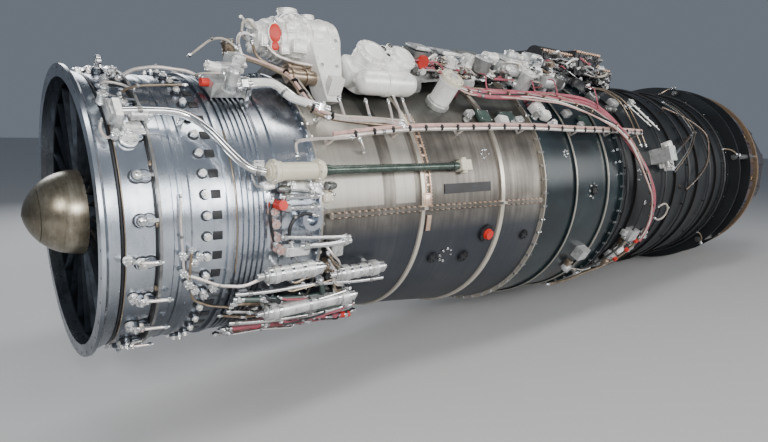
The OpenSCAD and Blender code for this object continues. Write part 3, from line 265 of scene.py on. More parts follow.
def ductFinish(name):
    # warm brown-grey skin, brushed round the duct, bright at the two stiffening rings; painted shade darkens its
    # top and bottom and a painted highlight lightens the upper panels
    s = Shader(name)
    x, angle, radius, y, z = s.axes()
    brushed = s.noise(s.joined(x * 55.0, angle * 1.4, radius * 4.0), 1.0, 5.0, 0.6)
    fine = s.noise(s.joined(x * 700.0, angle * 8.0, 0.0), 1.0, 2.0)
    patches = s.noise(s.joined(x * 5.0, angle * 2.6, radius * 3.0), 1.0, 4.0, 0.55)
    colour = s.ramp(patches * 0.6 + brushed * 0.4, (0.32, (0.060, 0.054, 0.048)), (0.5, (0.135, 0.122, 0.106)),
            (0.66, (0.27, 0.247, 0.215)))
    # painted highlight: lighter panel bands, lightened on the upper half only as its lit side
    upperPanelHighlight = s.between(x * -1.0, -0.905, -0.900) + s.between(x, 0.955, 0.960) * s.between(x * -1.0, -1.05, -1.045)
    colour = s.mix(upperPanelHighlight.clipped() * s.between(z, 0.02, 0.025) * 0.45, colour, rgb(0.62, 0.59, 0.53))
    # painted shade: darker towards the top and the bottom, the bottom with a blue painted dark reflection
    paintedTopShade = s.between(z, 0.285, 0.36)
    low = s.between(z * -1.0, 0.0, 0.10)
    colour = s.mix(low * 0.86, colour, rgb(0.016, 0.023, 0.036))
    colour = s.mix(paintedTopShade * 0.78, colour, rgb(0.030, 0.036, 0.034))
    front = s.between(x * -1.0, -1.091, -1.089) * s.between(x, 1.071, 1.073)
    rear = s.between(x * -1.0, -1.499, -1.497) * s.between(x, 1.475, 1.477)
    ends = s.between(x, 1.729, 1.731) + s.between(x * -1.0, -0.648, -0.646)
    rings = (front + rear + ends * 0.6).clipped()
    colour = s.mix(rings, colour, rgb(0.60, 0.55, 0.47))
    rough = 0.24 + patches * 0.18 + fine * 0.06 - rings * 0.04
    return s.finish(colour, (rough + low * 0.12).clipped(), 0.6 + rings * 0.25 - low * 0.35,
            s.bump(fine * 0.4 + brushed, 0.14, 0.001), 0.1)


def darkCaseFinish(name, rings, halfWidth, proud, ringColour, soot=0.0):
    # blue-green black enamel; the narrow rings are bare
    s = Shader(name)
    x, angle, radius, y, z = s.axes()
    clouds = s.noise(s.joined(x * 6.0, angle * 3.0, radius * 4.0), 1.0, 5.0, 0.65)
    fine = s.noise(s.place(), 300.0, 2.0)
    scuffs = s.between(s.noise(s.joined(x * 40.0, angle * 9.0, 0.0), 1.0, 6.0, 0.8), 0.64, 0.72)
    colour = s.ramp(clouds, (0.3, (0.005, 0.010, 0.013)), (0.55, (0.011, 0.022, 0.027)),
            (0.75, (0.026, 0.044, 0.050)))
    colour = s.mix(scuffs * 0.3, colour, rgb(0.13, 0.14, 0.14))
    bare = None
    for ring, limit in zip(rings, proud):
        edge = s.between(x, ring - halfWidth - 0.0005, ring - halfWidth)
        edge = edge * s.between(x * -1.0, -ring - halfWidth - 0.0005, -ring - halfWidth)
        edge = edge * s.between(radius, limit, limit + 0.0006)
        bare = edge if bare is None else bare + edge
    colour = s.mix(bare.clipped(), colour, ringColour)
    colour = s.mix(soot, colour, rgb(0.003, 0.004, 0.006)) if soot else colour
    rough = 0.24 + soot * 0.22 + clouds * 0.16 + scuffs * 0.15
    return s.finish(colour, rough.clipped(), 0.35 - soot * 0.3 + bare * 0.5, s.bump(fine, 0.07, 0.0005),
            0.25 - soot * 0.25)


def hotFinish(name, start, end):
    # heat tint: straw, brown and blue bands that fade to soot at the nozzle
    s = Shader(name)
    x, angle, radius, y, z = s.axes()
    along = s.between(x, start, end)
    waves = s.noise(s.joined(x * 7.0, angle * 3.5, radius * 5.0), 1.0, 5.0, 0.65)
    fine = s.noise(s.joined(x * 60.0, angle * 90.0, 0.0), 1.0, 3.0)
    colour = s.ramp(along * 0.75 + waves * 0.3, (0.1, (0.30, 0.25, 0.21)), (0.38, (0.34, 0.22, 0.12)),
            (0.58, (0.17, 0.10, 0.085)), (0.72, (0.10, 0.105, 0.15)), (0.92, (0.10, 0.085, 0.07)))
    soot = s.between(s.noise(s.place(), 6.0, 6.0, 0.7), 0.48, 0.75)
    colour = s.mix(soot * 0.6, colour, rgb(0.035, 0.03, 0.028))
    return s.finish(colour, (0.33 + waves * 0.18 + soot * 0.2).clipped(), 0.8 - soot * 0.35,
            s.bump(fine + waves, 0.16, 0.001))


def noseFinish(name):
    # olive-cream satin paint rubbed round the cone, darker toward the tip
    s = Shader(name)
    x, angle, radius, y, z = s.axes()
    rubbed = s.noise(s.joined(x * 120.0, angle * 1.5, radius * 60.0), 1.0, 5.0, 0.6)
    clouds = s.noise(s.place(), 12.0, 5.0, 0.65)
    speckle = s.between(s.noise(s.place(), 70.0, 6.0, 0.8), 0.56, 0.7)
    colour = s.ramp(rubbed * 0.35 + clouds * 0.65, (0.34, (0.17, 0.145, 0.10)), (0.5, (0.34, 0.30, 0.225)),
            (0.66, (0.56, 0.52, 0.42)))
    colour = s.mix(speckle * 0.5, colour, rgb(0.10, 0.085, 0.06))
    tip = s.between(x * -1.0, 0.0, 0.112)
    colour = s.mix(tip * 0.72, colour, rgb(0.085, 0.072, 0.05))
    return s.finish(colour, (0.25 + clouds * 0.16).clipped(), 0.82, s.bump(rubbed * 0.5 + speckle, 0.1, 0.0006),
            0.2)


def hoseFinish(name, light, dark):
    # silicone sleeve with a woven texture and dusty patches
    s = Shader(name)
    x, angle, radius, y, z = s.axes()
    weave = s.add("ShaderNodeTexWave", {"wave_type": "BANDS", "bands_direction": "DIAGONAL"},
            {"Vector": s.place(), "Scale": 210.0, "Distortion": 1.5, "Detail": 1.0}, "Fac")
    dust = s.noise(s.place(), 20.0, 5.0, 0.7)
    colour = s.mix(s.between(dust, 0.4, 0.7), light, dark)
    colour = s.mix(weave * 0.22, colour, rgb(0.72, 0.5, 0.48))
    return s.finish(colour, (0.45 + dust * 0.2).clipped(), 0.0, s.bump(weave, 0.35, 0.0006))


recipes = {
    # inletShell's last colour is the painted shade inside the air path
    "inletShell": (turnedAlloy, rgb(0.70, 0.755, 0.83), rgb(0.40, 0.46, 0.54), 0.13, rgb(0.018, 0.024, 0.030)),
    "fanShell": (turnedAlloy, rgb(0.66, 0.715, 0.79), rgb(0.34, 0.39, 0.46), 0.14),
    "ribShell": (turnedAlloy, rgb(0.58, 0.62, 0.68), rgb(0.24, 0.28, 0.34), 0.16),
    # near-black struts and blades: their dark metal is darkened further as painted shade deep in the inlet
    "strutMetal": (plainMetal, rgb(0.026, 0.032, 0.040), rgb(0.008, 0.010, 0.014), 0.42),
    "titanium": (plainMetal, rgb(0.24, 0.26, 0.28), rgb(0.10, 0.115, 0.13), 0.34),
    "steel": (plainMetal, rgb(0.82, 0.83, 0.84), rgb(0.44, 0.44, 0.43), 0.15, 1.0),
    "dullSteel": (plainMetal, rgb(0.34, 0.345, 0.34), rgb(0.09, 0.088, 0.085), 0.3),
    "pinMetal": (plainMetal, rgb(0.90, 0.90, 0.88), rgb(0.62, 0.61, 0.57), 0.26, 0.6),
    "noseCone": (noseFinish,),
    "ductSkin": (ductFinish,),
    "rearSkin": (darkCaseFinish, (1.978, 2.245), 0.0045, (0.5804, 0.5902), rgb(0.66, 0.63, 0.55)),
    "jetSkin": (darkCaseFinish, (2.56, 3.05, 3.38, 3.68), 0.0055, (0.5795, 0.5795, 0.5795, 0.5795),
            rgb(0.075, 0.055, 0.04), 0.85),
    "hotMetal": (hotFinish, 4.2, 4.95),
    "linerMetal": (hotFinish, 1.2, 3.9),
    "castSilver": (castMetal, rgb(0.84, 0.85, 0.84), rgb(0.44, 0.45, 0.44), 0.3, 0.7),
    "shadeCast": (castMetal, rgb(0.26, 0.265, 0.26), rgb(0.08, 0.08, 0.08), 0.34, 0.6),
    "whiteCast": (castMetal, rgb(0.94, 0.935, 0.91), rgb(0.78, 0.77, 0.74), 0.3, 0.3, 0.16),
    "chromeTube": (plainMetal, rgb(0.88, 0.88, 0.88), rgb(0.66, 0.64, 0.62), 0.09, 1.0, 60.0, 0.05, 3.0),
    "actuatorGreen": (plainMetal, rgb(0.12, 0.155, 0.135), rgb(0.03, 0.045, 0.038), 0.2, 0.75),
    "creamPaint": (painted, rgb(0.74, 0.69, 0.55), rgb(0.56, 0.51, 0.39), 0.34, rgb(0.45, 0.44, 0.42)),
    "greenPaint": (painted, rgb(0.045, 0.075, 0.065), rgb(0.018, 0.034, 0.032), 0.24, rgb(0.30, 0.31, 0.29)),
    "blackPaint": (painted, rgb(0.014, 0.015, 0.018), rgb(0.006, 0.006, 0.008), 0.4, rgb(0.22, 0.22, 0.22), 0.0),
    "salmonMetal": (plainMetal, rgb(0.80, 0.60, 0.47), rgb(0.50, 0.33, 0.24), 0.26, 0.8),
    "bronzeMetal": (plainMetal, rgb(0.40, 0.32, 0.24), rgb(0.15, 0.11, 0.08), 0.26, 0.9),
    "redCover": (painted, rgb(0.66, 0.030, 0.018), rgb(0.42, 0.020, 0.012), 0.36, rgb(0.55, 0.25, 0.2), 0.1),
    "pinkHose": (hoseFinish, rgb(0.38, 0.055, 0.095), rgb(0.17, 0.022, 0.042)),
    "paleHose": (hoseFinish, rgb(0.62, 0.42, 0.37), rgb(0.36, 0.20, 0.17)),
    "pipePaint": (plainMetal, rgb(0.84, 0.79, 0.75), rgb(0.52, 0.44, 0.40), 0.26, 0.7),
    "looseWire": (painted, rgb(0.55, 0.50, 0.44), rgb(0.28, 0.24, 0.20), 0.5, rgb(0.7, 0.66, 0.6), 0.0),
}
finishes = {name: make(name, *values) for name, (make, *values) in recipes.items()}

nodeFinish = {
    "inletShell": ["inlet_case"], "fanShell": ["fan_case_front"], "ribShell": ["fan_case_rear"],
    "strutMetal": ["inlet_struts", "fan_stators", "fan_rotor"],
    "titanium": ["intermediate_case", "core_compressor", "core_case"],
    "steel": ["vane_flaps", "lp_shaft", "bearings", "jack_rods", "hinge_pins", "lifting_eye", "flange_bolts"],
    "dullSteel": ["unison_ring", "jack_bodies"], "pinMetal": ["locating_pins"],
    "noseCone": ["spinner", "spinner_cap"], "ductSkin": ["duct_upper", "duct_lower"], "rearSkin": ["rear_duct"],
    "jetSkin": ["afterburner_case", "nozzle_housing"],
    "hotMetal": ["nozzle_ring"] + [f"flap_{i:02d}" for i in range(1, 13)],
    "linerMetal": ["combustor_liner", "turbine_case", "exhaust_frame", "mixer", "flame_holder", "afterburner_liner",
            "lp_turbine", "core_turbine"],
    "shadeCast": ["accessory_gearbox"], "castSilver": ["valve_blocks", "fuel_units"],
    "whiteCast": ["turbo_starter", "oil_tank"],
    "creamPaint": ["vane_actuator"], "blackPaint": ["control_unit", "port_covers"],
    "salmonMetal": ["split_bolts"], "redCover": ["red_caps"], "pinkHose": ["red_hoses"],
    "pipePaint": ["steel_pipes", "clamped_pipe"],
}
for finishName, nodeNames in nodeFinish.items():
    for nodeName in nodeNames:
        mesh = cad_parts[nodeName].data
        mesh.materials.clear()
        mesh.materials.append(finishes[finishName])
print("stage 2: finishes made")

# Camera, floor and lights
cameraPlace = {"at": (-0.3174, -1.9121, 0.2857), "yaw": 40.303, "pitch": -9.674, "roll": 1.639, "lens": 25.388}
yaw, pitch, roll = (math.radians(cameraPlace[k]) for k in ("yaw", "pitch", "roll"))
ahead = Vector((math.sin(yaw) * math.cos(pitch), math.cos(yaw) * math.cos(pitch), math.sin(pitch)))
right = Vector((math.cos(yaw), -math.sin(yaw), 0))
up = right.cross(ahead)
right, up = right * math.cos(roll) + up * math.sin(roll), up * math.cos(roll) - right * math.sin(roll)
bpy.ops.object.camera_add()
camera = bpy.context.object
camera.matrix_world = Matrix.Translation(cameraPlace["at"]) @ Matrix((right, up, -ahead)).transposed().to_4x4()
camera.data.lens, camera.data.sensor_width = cameraPlace["lens"], 36
camera.data.clip_start, camera.data.clip_end = 0.05, 100
bpy.context.scene.camera = camera

floorSize = {"side": 60.0, "below": 0.002, "colour": rgb(0.52, 0.52, 0.52)}
bpy.ops.mesh.primitive_plane_add(size=floorSize["side"], location=(2, 0, cadLow.z - floorSize["below"]))
floor = bpy.context.object
floor.name = "floor"
floorShader = Shader("floorPaint")
floorNoise = floorShader.noise(floorShader.place(), 3.0, 4.0)
floor.data.materials.append(floorShader.finish(
    floorShader.mix(floorNoise * 0.2, floorSize["colour"], rgb(0.46, 0.46, 0.47)), 0.7))

lights = {        # aim and size in metres
    "sideStrip": {"at": (3.2, -4.6, 1.25), "aim": (2.6, 0, 0.1), "size": (8.4, 1.7), "power": 270,
            "colour": (1.0, 0.99, 0.97)},
    "keySoft": {"at": (-2.4, -2.6, 1.7), "aim": (0.2, 0, 0.0), "size": (1.1, 1.1), "power": 60,
            "colour": (1.0, 0.98, 0.95)},
    "flashSoft": {"at": (-0.4, -2.3, 0.75), "aim": (0.9, 0, 0.15), "size": (0.3, 0.3), "power": 22,
            "colour": (1, 1, 1)},
    "topSoft": {"at": (1.6, -1.0, 3.4), "aim": (1.6, 0, 0.4), "size": (3.4, 0.7), "power": 60,
            "colour": (1.0, 0.97, 0.92)},
    "farSoft": {"at": (1.5, 4.2, 2.2), "aim": (1.8, 0, 0.2), "size": (5.0, 1.6), "power": 150,
            "colour": (0.95, 0.97, 1.0)},
}
for lightName, values in lights.items():
    bpy.ops.object.light_add(type="AREA", location=values["at"])
    lamp = bpy.context.object
    lamp.name = lightName
    lamp.data.shape = "RECTANGLE"
    lamp.data.size, lamp.data.size_y = values["size"]
    lamp.data.energy, lamp.data.color = values["power"], values["colour"]
    aim = Vector(values["aim"]) - Vector(values["at"])
    lamp.rotation_euler = aim.to_track_quat("-Z", "Y").to_euler()
world = bpy.data.worlds.new("room")
bpy.context.scene.world = world
world.use_nodes = True
air = {"colour": rgb(0.50, 0.57, 0.68), "strength": 0.3}
for socket, value in zip(world.node_tree.nodes["Background"].inputs, air.values()):
    socket.default_value = value
print("stage 3: camera and lights set")

# Modelling helpers
piles = {}       # parts of each piece, by piece name


def deselect():
    bpy.ops.object.select_all(action="DESELECT")


def keep(piece, finish, parts):
    # parts wait outside the scene, which keeps every step quick
    entry = piles.setdefault(piece, {"finish": finish, "parts": []})
    for part in parts if isinstance(parts, list) else [parts]:
        for collection in part.users_collection:
            collection.objects.unlink(part)
        entry["parts"].append(part)


def editFaces(obj, test):
    # opens edit mode with the faces that pass the test selected
    bpy.context.view_layer.objects.active = obj
    bpy.ops.object.mode_set(mode="EDIT")
    bpy.ops.mesh.select_mode(type="FACE")
    work = bmesh.from_edit_mesh(obj.data)
    for face in work.faces:
        face.select_set(bool(test(face)))
    bmesh.update_edit_mesh(obj.data)


def endEdit():
    bpy.ops.mesh.select_all(action="SELECT")
    bpy.ops.mesh.normals_make_consistent(inside=False)
    bpy.ops.object.mode_set(mode="OBJECT")


def turned(profile, sides=20):
    # a round or many-sided piece drawn up Z through (height, radius)
    height, radius = profile[0]
    deselect()
    bpy.ops.mesh.primitive_circle_add(vertices=sides, radius=radius, fill_type="NGON", location=(0, 0, 0))
    obj = bpy.context.object
    bpy.ops.object.mode_set(mode="EDIT")
    bpy.ops.mesh.select_all(action="SELECT")
    if height:
        bpy.ops.transform.translate(value=(0, 0, height))
    for nextHeight, nextRadius in profile[1:]:
        bpy.ops.mesh.extrude_region_move(TRANSFORM_OT_translate={"value": (0, 0, nextHeight - height)})
        share = nextRadius / radius
        bpy.ops.transform.resize(value=(share, share, 1), center_override=(0, 0, 0))
        height, radius = nextHeight, nextRadius
    endEdit()
    return obj


def moved(obj, matrix):
    obj.data.transform(matrix)
    return obj


def twin(obj, matrix):
    other = obj.copy()
    other.data = obj.data.copy()
    other.data.transform(matrix)
    return other


def copies(template, matrices):
    return [twin(template, m) for m in matrices]


def joinParts(parts):
    deselect()
    for part in parts:
        if not part.users_collection:
            bpy.context.collection.objects.link(part)
        part.select_set(True)
    bpy.context.view_layer.objects.active = parts[0]
    if len(parts) > 1:
        bpy.ops.object.join()
    return parts[0]


def block(size, bevel=2.0, cover=0.0, inset=4.0):
    # a cast box on its base, with rounded edges and a raised cover on top
    deselect()
    bpy.ops.mesh.primitive_cube_add(size=1, location=(0, 0, 0))
    obj = bpy.context.object
    obj.data.transform(shift(0, 0, size[2] / 2) @ Matrix.Diagonal((*size, 1)))
    if cover:
        editFaces(obj, lambda face: face.normal.z > 0.9)
        bpy.ops.mesh.inset(thickness=inset)
        bpy.ops.mesh.extrude_region_move(TRANSFORM_OT_translate={"value": (0, 0, cover)})
        endEdit()
    rounding = obj.modifiers.new("rounding", "BEVEL")
    rounding.width, rounding.segments, rounding.limit_method = bevel, 2, "ANGLE"
    bpy.ops.object.modifier_apply(modifier=rounding.name)
    return obj


def pipe(points, radius, bend=None, sides=3):
    # a tube through points in millimetres, its corners bent round
    points = [Vector(p) for p in points]
    deselect()
    bpy.ops.curve.primitive_bezier_curve_add(location=(0, 0, 0))
    obj = bpy.context.object
    curve = obj.data
    spline = curve.splines[0]
    knots = [(points[0], points[0].lerp(points[1], -0.1), points[0].lerp(points[1], 0.3))]
    for before, here, after in zip(points, points[1:], points[2:]):
        reach = min(bend or radius * 4, (here - before).length * 0.46, (after - here).length * 0.46)
        start = here + (before - here).normalized() * reach
        end = here + (after - here).normalized() * reach
        knots.append((start, start + (before - here).normalized() * reach * 0.2, start.lerp(here, 0.55)))
        knots.append((end, end.lerp(here, 0.55), end + (after - here).normalized() * reach * 0.2))
    knots.append((points[-1], points[-1].lerp(points[-2], 0.3), points[-1].lerp(points[-2], -0.1)))
    spline.bezier_points.add(len(knots) - 2)
    for knot, (place, left, rightHandle) in zip(spline.bezier_points, knots):
        knot.handle_left_type = knot.handle_right_type = "FREE"
        knot.co, knot.handle_left, knot.handle_right = place, left, rightHandle
    curve.dimensions = "3D"
    curve.bevel_depth, curve.bevel_resolution, curve.resolution_u = radius, sides, 4
    curve.use_fill_caps = True
    obj.select_set(True)
    bpy.context.view_layer.objects.active = obj
    bpy.ops.object.convert(target="MESH")
    return bpy.context.object


def caseLine(route):
    # points that follow the case between (station, clock, height) stops
    points = []
    for (x0, a0, h0), (x1, a1, h1) in zip(route, route[1:]):
        count = max(1, math.ceil(max(abs(a1 - a0) / 9, abs(x1 - x0) / 160)))
        for i in range(count):
            t = i / count
            points.append(onCase(x0 + (x1 - x0) * t, a0 + (a1 - a0) * t, h0 + (h1 - h0) * t))
    return points + [onCase(*route[-1])]


def smoothLine(route, steps):
    # the same smooth line as the solid tubes of the source follow
    p = [onCase(*stop) for stop in route]
    line = []
    for i in range(len(p) - 1):
        a, b, c, d = p[max(i - 1, 0)], p[i], p[i + 1], p[min(i + 2, len(p) - 1)]
        for k in range(steps):
            t = k / steps
            line.append(0.5 * (2 * b + (c - a) * t + (2 * a - 5 * b + 4 * c - d) * t * t
                    + (3 * b - a - 3 * c + d) * t * t * t))
    return line + [p[-1]]


def closePiece(piece, body="casing", replaced=()):
    entry = piles.pop(piece)
    obj = joinParts(entry["parts"])
    obj.name = obj.data.name = piece
    obj.data.transform(Matrix.Scale(mm, 4))
    obj.data.materials.clear()
    obj.data.materials.append(finishes[entry["finish"]])
    for face in obj.data.polygons:
        face.material_index = 0
    deselect()
    obj.select_set(True)
    bpy.context.view_layer.objects.active = obj
    bpy.ops.object.shade_smooth_by_angle(angle=math.radians(38))
    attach(obj, body)
    if replaced:
        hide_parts(*replaced)


def boltAt(matrix):
    keep("unitBolts", "steel", twin(smallBolt, matrix))


def ringAt(piece, finish, profile, sides, place, direction=(1, 0, 0)):
    keep(piece, finish, moved(turned(profile, sides), aimed(place, direction)))


def nutAt(place, direction, radius, piece="jumperNuts"):
    # a union nut whose bore fits the pipe
    keep(piece, "steel", twin(pipeNut, aimed(place, direction) @ Matrix.Scale(radius / nutBore, 4)))


def whitePart(part):
    keep("whiteCastUnits", "whiteCast", part)


# Small parts that repeat
hexBolt = joinParts([turned([(0, 6.4), (1.2, 6.4)], 12), turned([(1.2, 5.2), (5.0, 5.2), (6.0, 4.3)], 6)])
smallBolt = joinParts([turned([(0, 4.2), (0.8, 4.2)], 10), turned([(0.8, 3.3), (3.4, 3.3), (4.0, 2.6)], 6)])
nutBore = 9
pipeNut = joinParts([turned([(-12, nutBore), (-2, nutBore), (0, 11)], 12),
        turned([(0, 13.5), (1, 14.4), (13, 14.4), (14, 13.5)], 6), turned([(14, 11), (20, 10), (24, nutBore)], 12)])
connector = joinParts([turned([(0, 15), (3, 15), (3, 11), (9, 11), (9, 14), (22, 14), (24, 12.5), (30, 12),
        (38, 8)], 16)]
        + [moved(turned([(10, 1.6), (21, 1.6)], 5), spin(a) @ shift(13.6, 0, 0)) for a in range(0, 360, 45)])
patterns = [hexBolt, smallBolt, pipeNut, connector]


def clampAt(line, radius, share, width=14.0, grow=2.2):
    # a band round the pipe
    spot = max(1, min(len(line) - 2, round(share * (len(line) - 1))))
    here, direction = Vector(line[spot]), Vector(line[spot + 1]) - Vector(line[spot - 1])
    return moved(turned([(-width / 2, radius + 0.6), (-width / 2 + 1, radius + grow),
            (width / 2 - 1, radius + grow), (width / 2, radius + 0.6)], 14), aimed(here, direction))


footSize = {"width": 14, "thick": 5, "base": 20}


def foot(station, clock, height):
    # short bent leg with its bolt, from the skin up to a pipe
    leg = moved(block((footSize["width"], footSize["thick"], height), 1.2), seat(station, clock))
    base = moved(block((footSize["width"], footSize["base"], 3), 1.0), seat(station, clock) @ shift(0, 8, 0))
    return [leg, base, twin(smallBolt, seat(station, clock, 3) @ shift(0, 12, 0))]


# Nose cone: a smooth turned cone with a seam before its tip
noseCone = {"base": 41, "baseRadius": 131, "seam": -75.3, "tip": -115, "sides": 96, "behind": 6, "curve": 2.35,
        "shoulder": 0.62, "blunt": 0.99999}


def coneRadius(station, width):
    start = noseCone["base"] + noseCone["behind"]
    fall = min(noseCone["blunt"], max(0, (start - station) / (start - noseCone["tip"])))
    return width * (1 - fall ** noseCone["curve"]) ** noseCone["shoulder"]


def nosePart(profile):
    return moved(turned([(-s, r) for s, r in profile], noseCone["sides"]), spin(-90, "Y"))


coneProfile = []
for i in range(17):
    station = noseCone["base"] + (noseCone["seam"] - noseCone["base"]) * i / 16
    coneProfile.append((station, coneRadius(station, noseCone["baseRadius"] + 2)))
keep("noseCone", "noseCone", nosePart(coneProfile))
closePiece("noseCone", replaced=("spinner",))
tipProfile = [(noseCone["seam"] - 0.8, coneProfile[-1][1] - 2.2)]
for i in range(10):
    station = noseCone["seam"] - 1.6 + (noseCone["tip"] + 0.3 - noseCone["seam"] + 1.6) * i / 9
    tipProfile.append((station, max(1.5, coneRadius(station, noseCone["baseRadius"] + 1.5))))
keep("noseTip", "noseCone", nosePart(tipProfile))
closePiece("noseTip", replaced=("spinner_cap",))
print("stage 4: nose cone")

# Smooth tubes in place of the solids' eight-sided ones
hoseStops = [(1420, 57, 44), (1436, 52, 58), (1500, 49, 60), (1643, 47.8, 60), (1815, 47.8, 60), (2000, 47, 62),
        (2141, 44.6, 70), (2221, 40, 76), (2290, 32, 80), (2380, 22.5, 88), (2470, 14.5, 84), (2560, 6, 80),
        (2640, -3, 74), (2700, -14, 62), (2740, -26, 52)]
tubeRuns = {
    "steelPipes": [
        ([(86, 41, 50), (150, 41.5, 48), (239, 40.6, 46), (299, 34.5, 46), (345, 25.5, 52), (385, 19, 66),
                (429, 17, 522 - skin(429))], 12),
        ([(440, 53, 50), (520, 54, 58), (590, 53, 58), (626, 46, 58), (700, 40.5, 58)], 10),
        ([(365, -28, 34), (480, -28, 40), (640, -27, 44), (800, -29, 40), (930, -30, 34)], 7),
        ([(380, -46, 36), (520, -47, 44), (700, -48, 44), (860, -47, 36)], 9),
        ([(3164, 48, 44), (3330, 41, 50), (3490, 33, 50), (3525, 26, 50), (3440, 14, 50), (3290, 5, 48),
                (3131, -2, 40)], 7),
        ([(2843, 17, 84), (2960, 18, 62), (3080, 22, 56), (3230, 27, 56), (3300, 28, 44)], 8)],
    "clampedPipe": [([(700, 29.4, 50), (993, 32.3, 50), (1300, 31.9, 50), (1640, 30.6, 49), (2012, 29.1, 48),
            (2300, 28.4, 51), (2600, 28, 62)], 8)],
    "redHoses": [([(x, a - k * 2.6, h) for x, a, h in hoseStops], 9) for k in (0, 1)],
}
pipeFeet = {
    "steelPipes": [(247, 40.2, 45), (486, 53.6, 54), (695, 40.5, 54), (486, -28, 38), (920, -30, 30),
            (486, -46.7, 40), (850, -47, 32), (3180, 47.3, 44), (3140, -1.6, 40), (3290, 28, 44)],
    "clampedPipe": [(704, 29.4, 49), (993, 32.3, 49), (1300, 31.9, 49), (1640, 30.6, 48), (2012, 29.1, 47),
            (2300, 28.4, 50), (2596, 28, 61)],
    "redHoses": [(x, a - k * 2.6, h - 1) for x, a, h in (hoseStops[0], hoseStops[4], hoseStops[14])
            for k in (0, 1)],
}
tubeLooks = {"steelPipes": ("steel_pipes", "chromeTube"), "clampedPipe": ("clamped_pipe", "pipePaint"),
        "redHoses": ("red_hoses", "pinkHose")}
for pieceName, (nodeName, finish) in tubeLooks.items():
    for stops, radius in tubeRuns[pieceName]:
        line = smoothLine(stops, 4)
        keep(pieceName, finish, pipe(line, radius, radius * 3))
        keep("pipeClamps", "dullSteel", [clampAt(line, radius, s) for s in ((0.12, 0.9) if radius > 6 else (0.5,))])
    for stop in pipeFeet[pieceName]:
        keep(pieceName, finish, foot(*stop))
    closePiece(pieceName, replaced=(nodeName,))
print("stage 5: tubes")

# Dark bands and thin loom along the clamped pipe
longLine = smoothLine(tubeRuns["clampedPipe"][0][0], 8)
bandGap, bandAt = 64, 0.0
for i in range(1, len(longLine) - 1):
    bandAt += (longLine[i] - longLine[i - 1]).length
    if bandAt > bandGap:
        bandAt = 0.0
        ringAt("loomBands", "blackPaint", [(-5, 9), (-4, 12.5), (4, 12.5), (5, 9)], 12,
                longLine[i] + Vector((0, 0, 5)), longLine[i + 1] - longLine[i - 1])
for rise, side, wireRadius in ((12.5, -4, 4.2), (11, 5, 3.2), (18, 1, 3.4)):
    wire = [p + Vector((0, side * 0.5, rise)) for p in longLine]
    keep("loomWires", "paleHose", pipe(wire, wireRadius, 10, 2))

# Boss plates, lever tongues and nuts round the inlet case
strutCount, strutPhase = 23, 3.8
bossRing = {"at": 123, "radius": 17, "darkDisc": 20}
ovalPlate = moved(turned([(0, bossRing["radius"]), (5, bossRing["radius"]), (6, 16), (6, 12.5), (4.5, 12)], 28),
        shift(bossRing["at"], 0, 0))
tongue = moved(block((30, 9, 6), 1.5), shift(130, 0, 7))
spindleNut = moved(turned([(0, 8), (7, 8), (8, 6.5), (8, 3.5), (12, 3.2)], 6), shift(101, 0, 22))
# painted shade: dark discs round each boss plate and under each spindle nut
bossShadeDiscs = joinParts([moved(turned([(0, bossRing["darkDisc"]), (1.6, bossRing["darkDisc"]), (1.8, 19)], 28), shift(x, 0, 0))
        for x in (101, bossRing["at"])] + [moved(turned([(15.2, 14.6), (16.6, 14.6)], 28), shift(101, 0, 0))])
strutSeats = []
for i in range(strutCount):
    base = seat(0, strutPhase + i * 360 / strutCount)
    base.translation = Vector((0, *(base.to_3x3() @ Vector((0, 0, 427)))[1:]))
    strutSeats.append(base)
keep("bossPlates", "fanShell", copies(ovalPlate, strutSeats) + copies(tongue, strutSeats))
keep("spindleNuts", "steel", copies(spindleNut, strutSeats))
keep("darkSeals", "blackPaint", copies(bossShadeDiscs, strutSeats))
pinRow = {"pins": 275, "windows": 308, "count": 46, "darkDisc": 15.5}
for i in range(pinRow["count"]):
    clock = strutPhase + i * 360 / pinRow["count"]
    keep("darkSeals", "blackPaint",
            moved(turned([(-1, pinRow["darkDisc"]), (2.0, pinRow["darkDisc"]), (2.3, 14.6)], 20),
            seat(pinRow["pins"], clock, 0)))
    keep("darkSeals", "blackPaint", moved(block((28, 25, 2.2), 0.8), seat(pinRow["windows"], clock, 0)))
for station, radius, thick in ((57, 423.2, 3.6), (145, 421.5, 5.0), (151, 421.5, 4.6)):
    circle = [Vector((station, -radius * math.cos(math.radians(a)), radius * math.sin(math.radians(a))))
            for a in range(0, 361, 6)]
    keep("darkSeals", "blackPaint", pipe(circle, thick, 30, 2))
keep("grooveTube", "bronzeMetal",
        pipe(caseLine([(62, 44, 2), (62, 20, 2), (62, -8, 2), (62, -34, 2), (64, -66, 3)]), 1.8, 20, 2))
keep("grooveTube", "bronzeMetal", pipe(caseLine([(362, 36, 9), (362, 2, 9), (364, -20, 9)]), 2.6, 20, 2))
for turn in (24, 2, -23):
    keep("grooveTube", "bronzeMetal", moved(block((10, 14, 8), 1.5), seat(143, turn, 0)))
print("stage 6: inlet dress")

# Units on the case: boxes, cans, barrels, connectors and the pipes between them
def boxUnit(finish, station, clock, height, size, turn=0.0, cover=4.0):
    base = seat(station, clock, height, turn)
    keep(finish + "Units", finish, moved(block(size, min(3.0, min(size) * 0.12), cover, min(size[:2]) * 0.1), base))
    for sx in (-1, 1):
        for sy in (-1, 1):
            spot = shift(sx * (size[0] / 2 - 7), sy * (size[1] / 2 - 7), size[2] + cover * 0.2)
            boltAt(base @ spot)


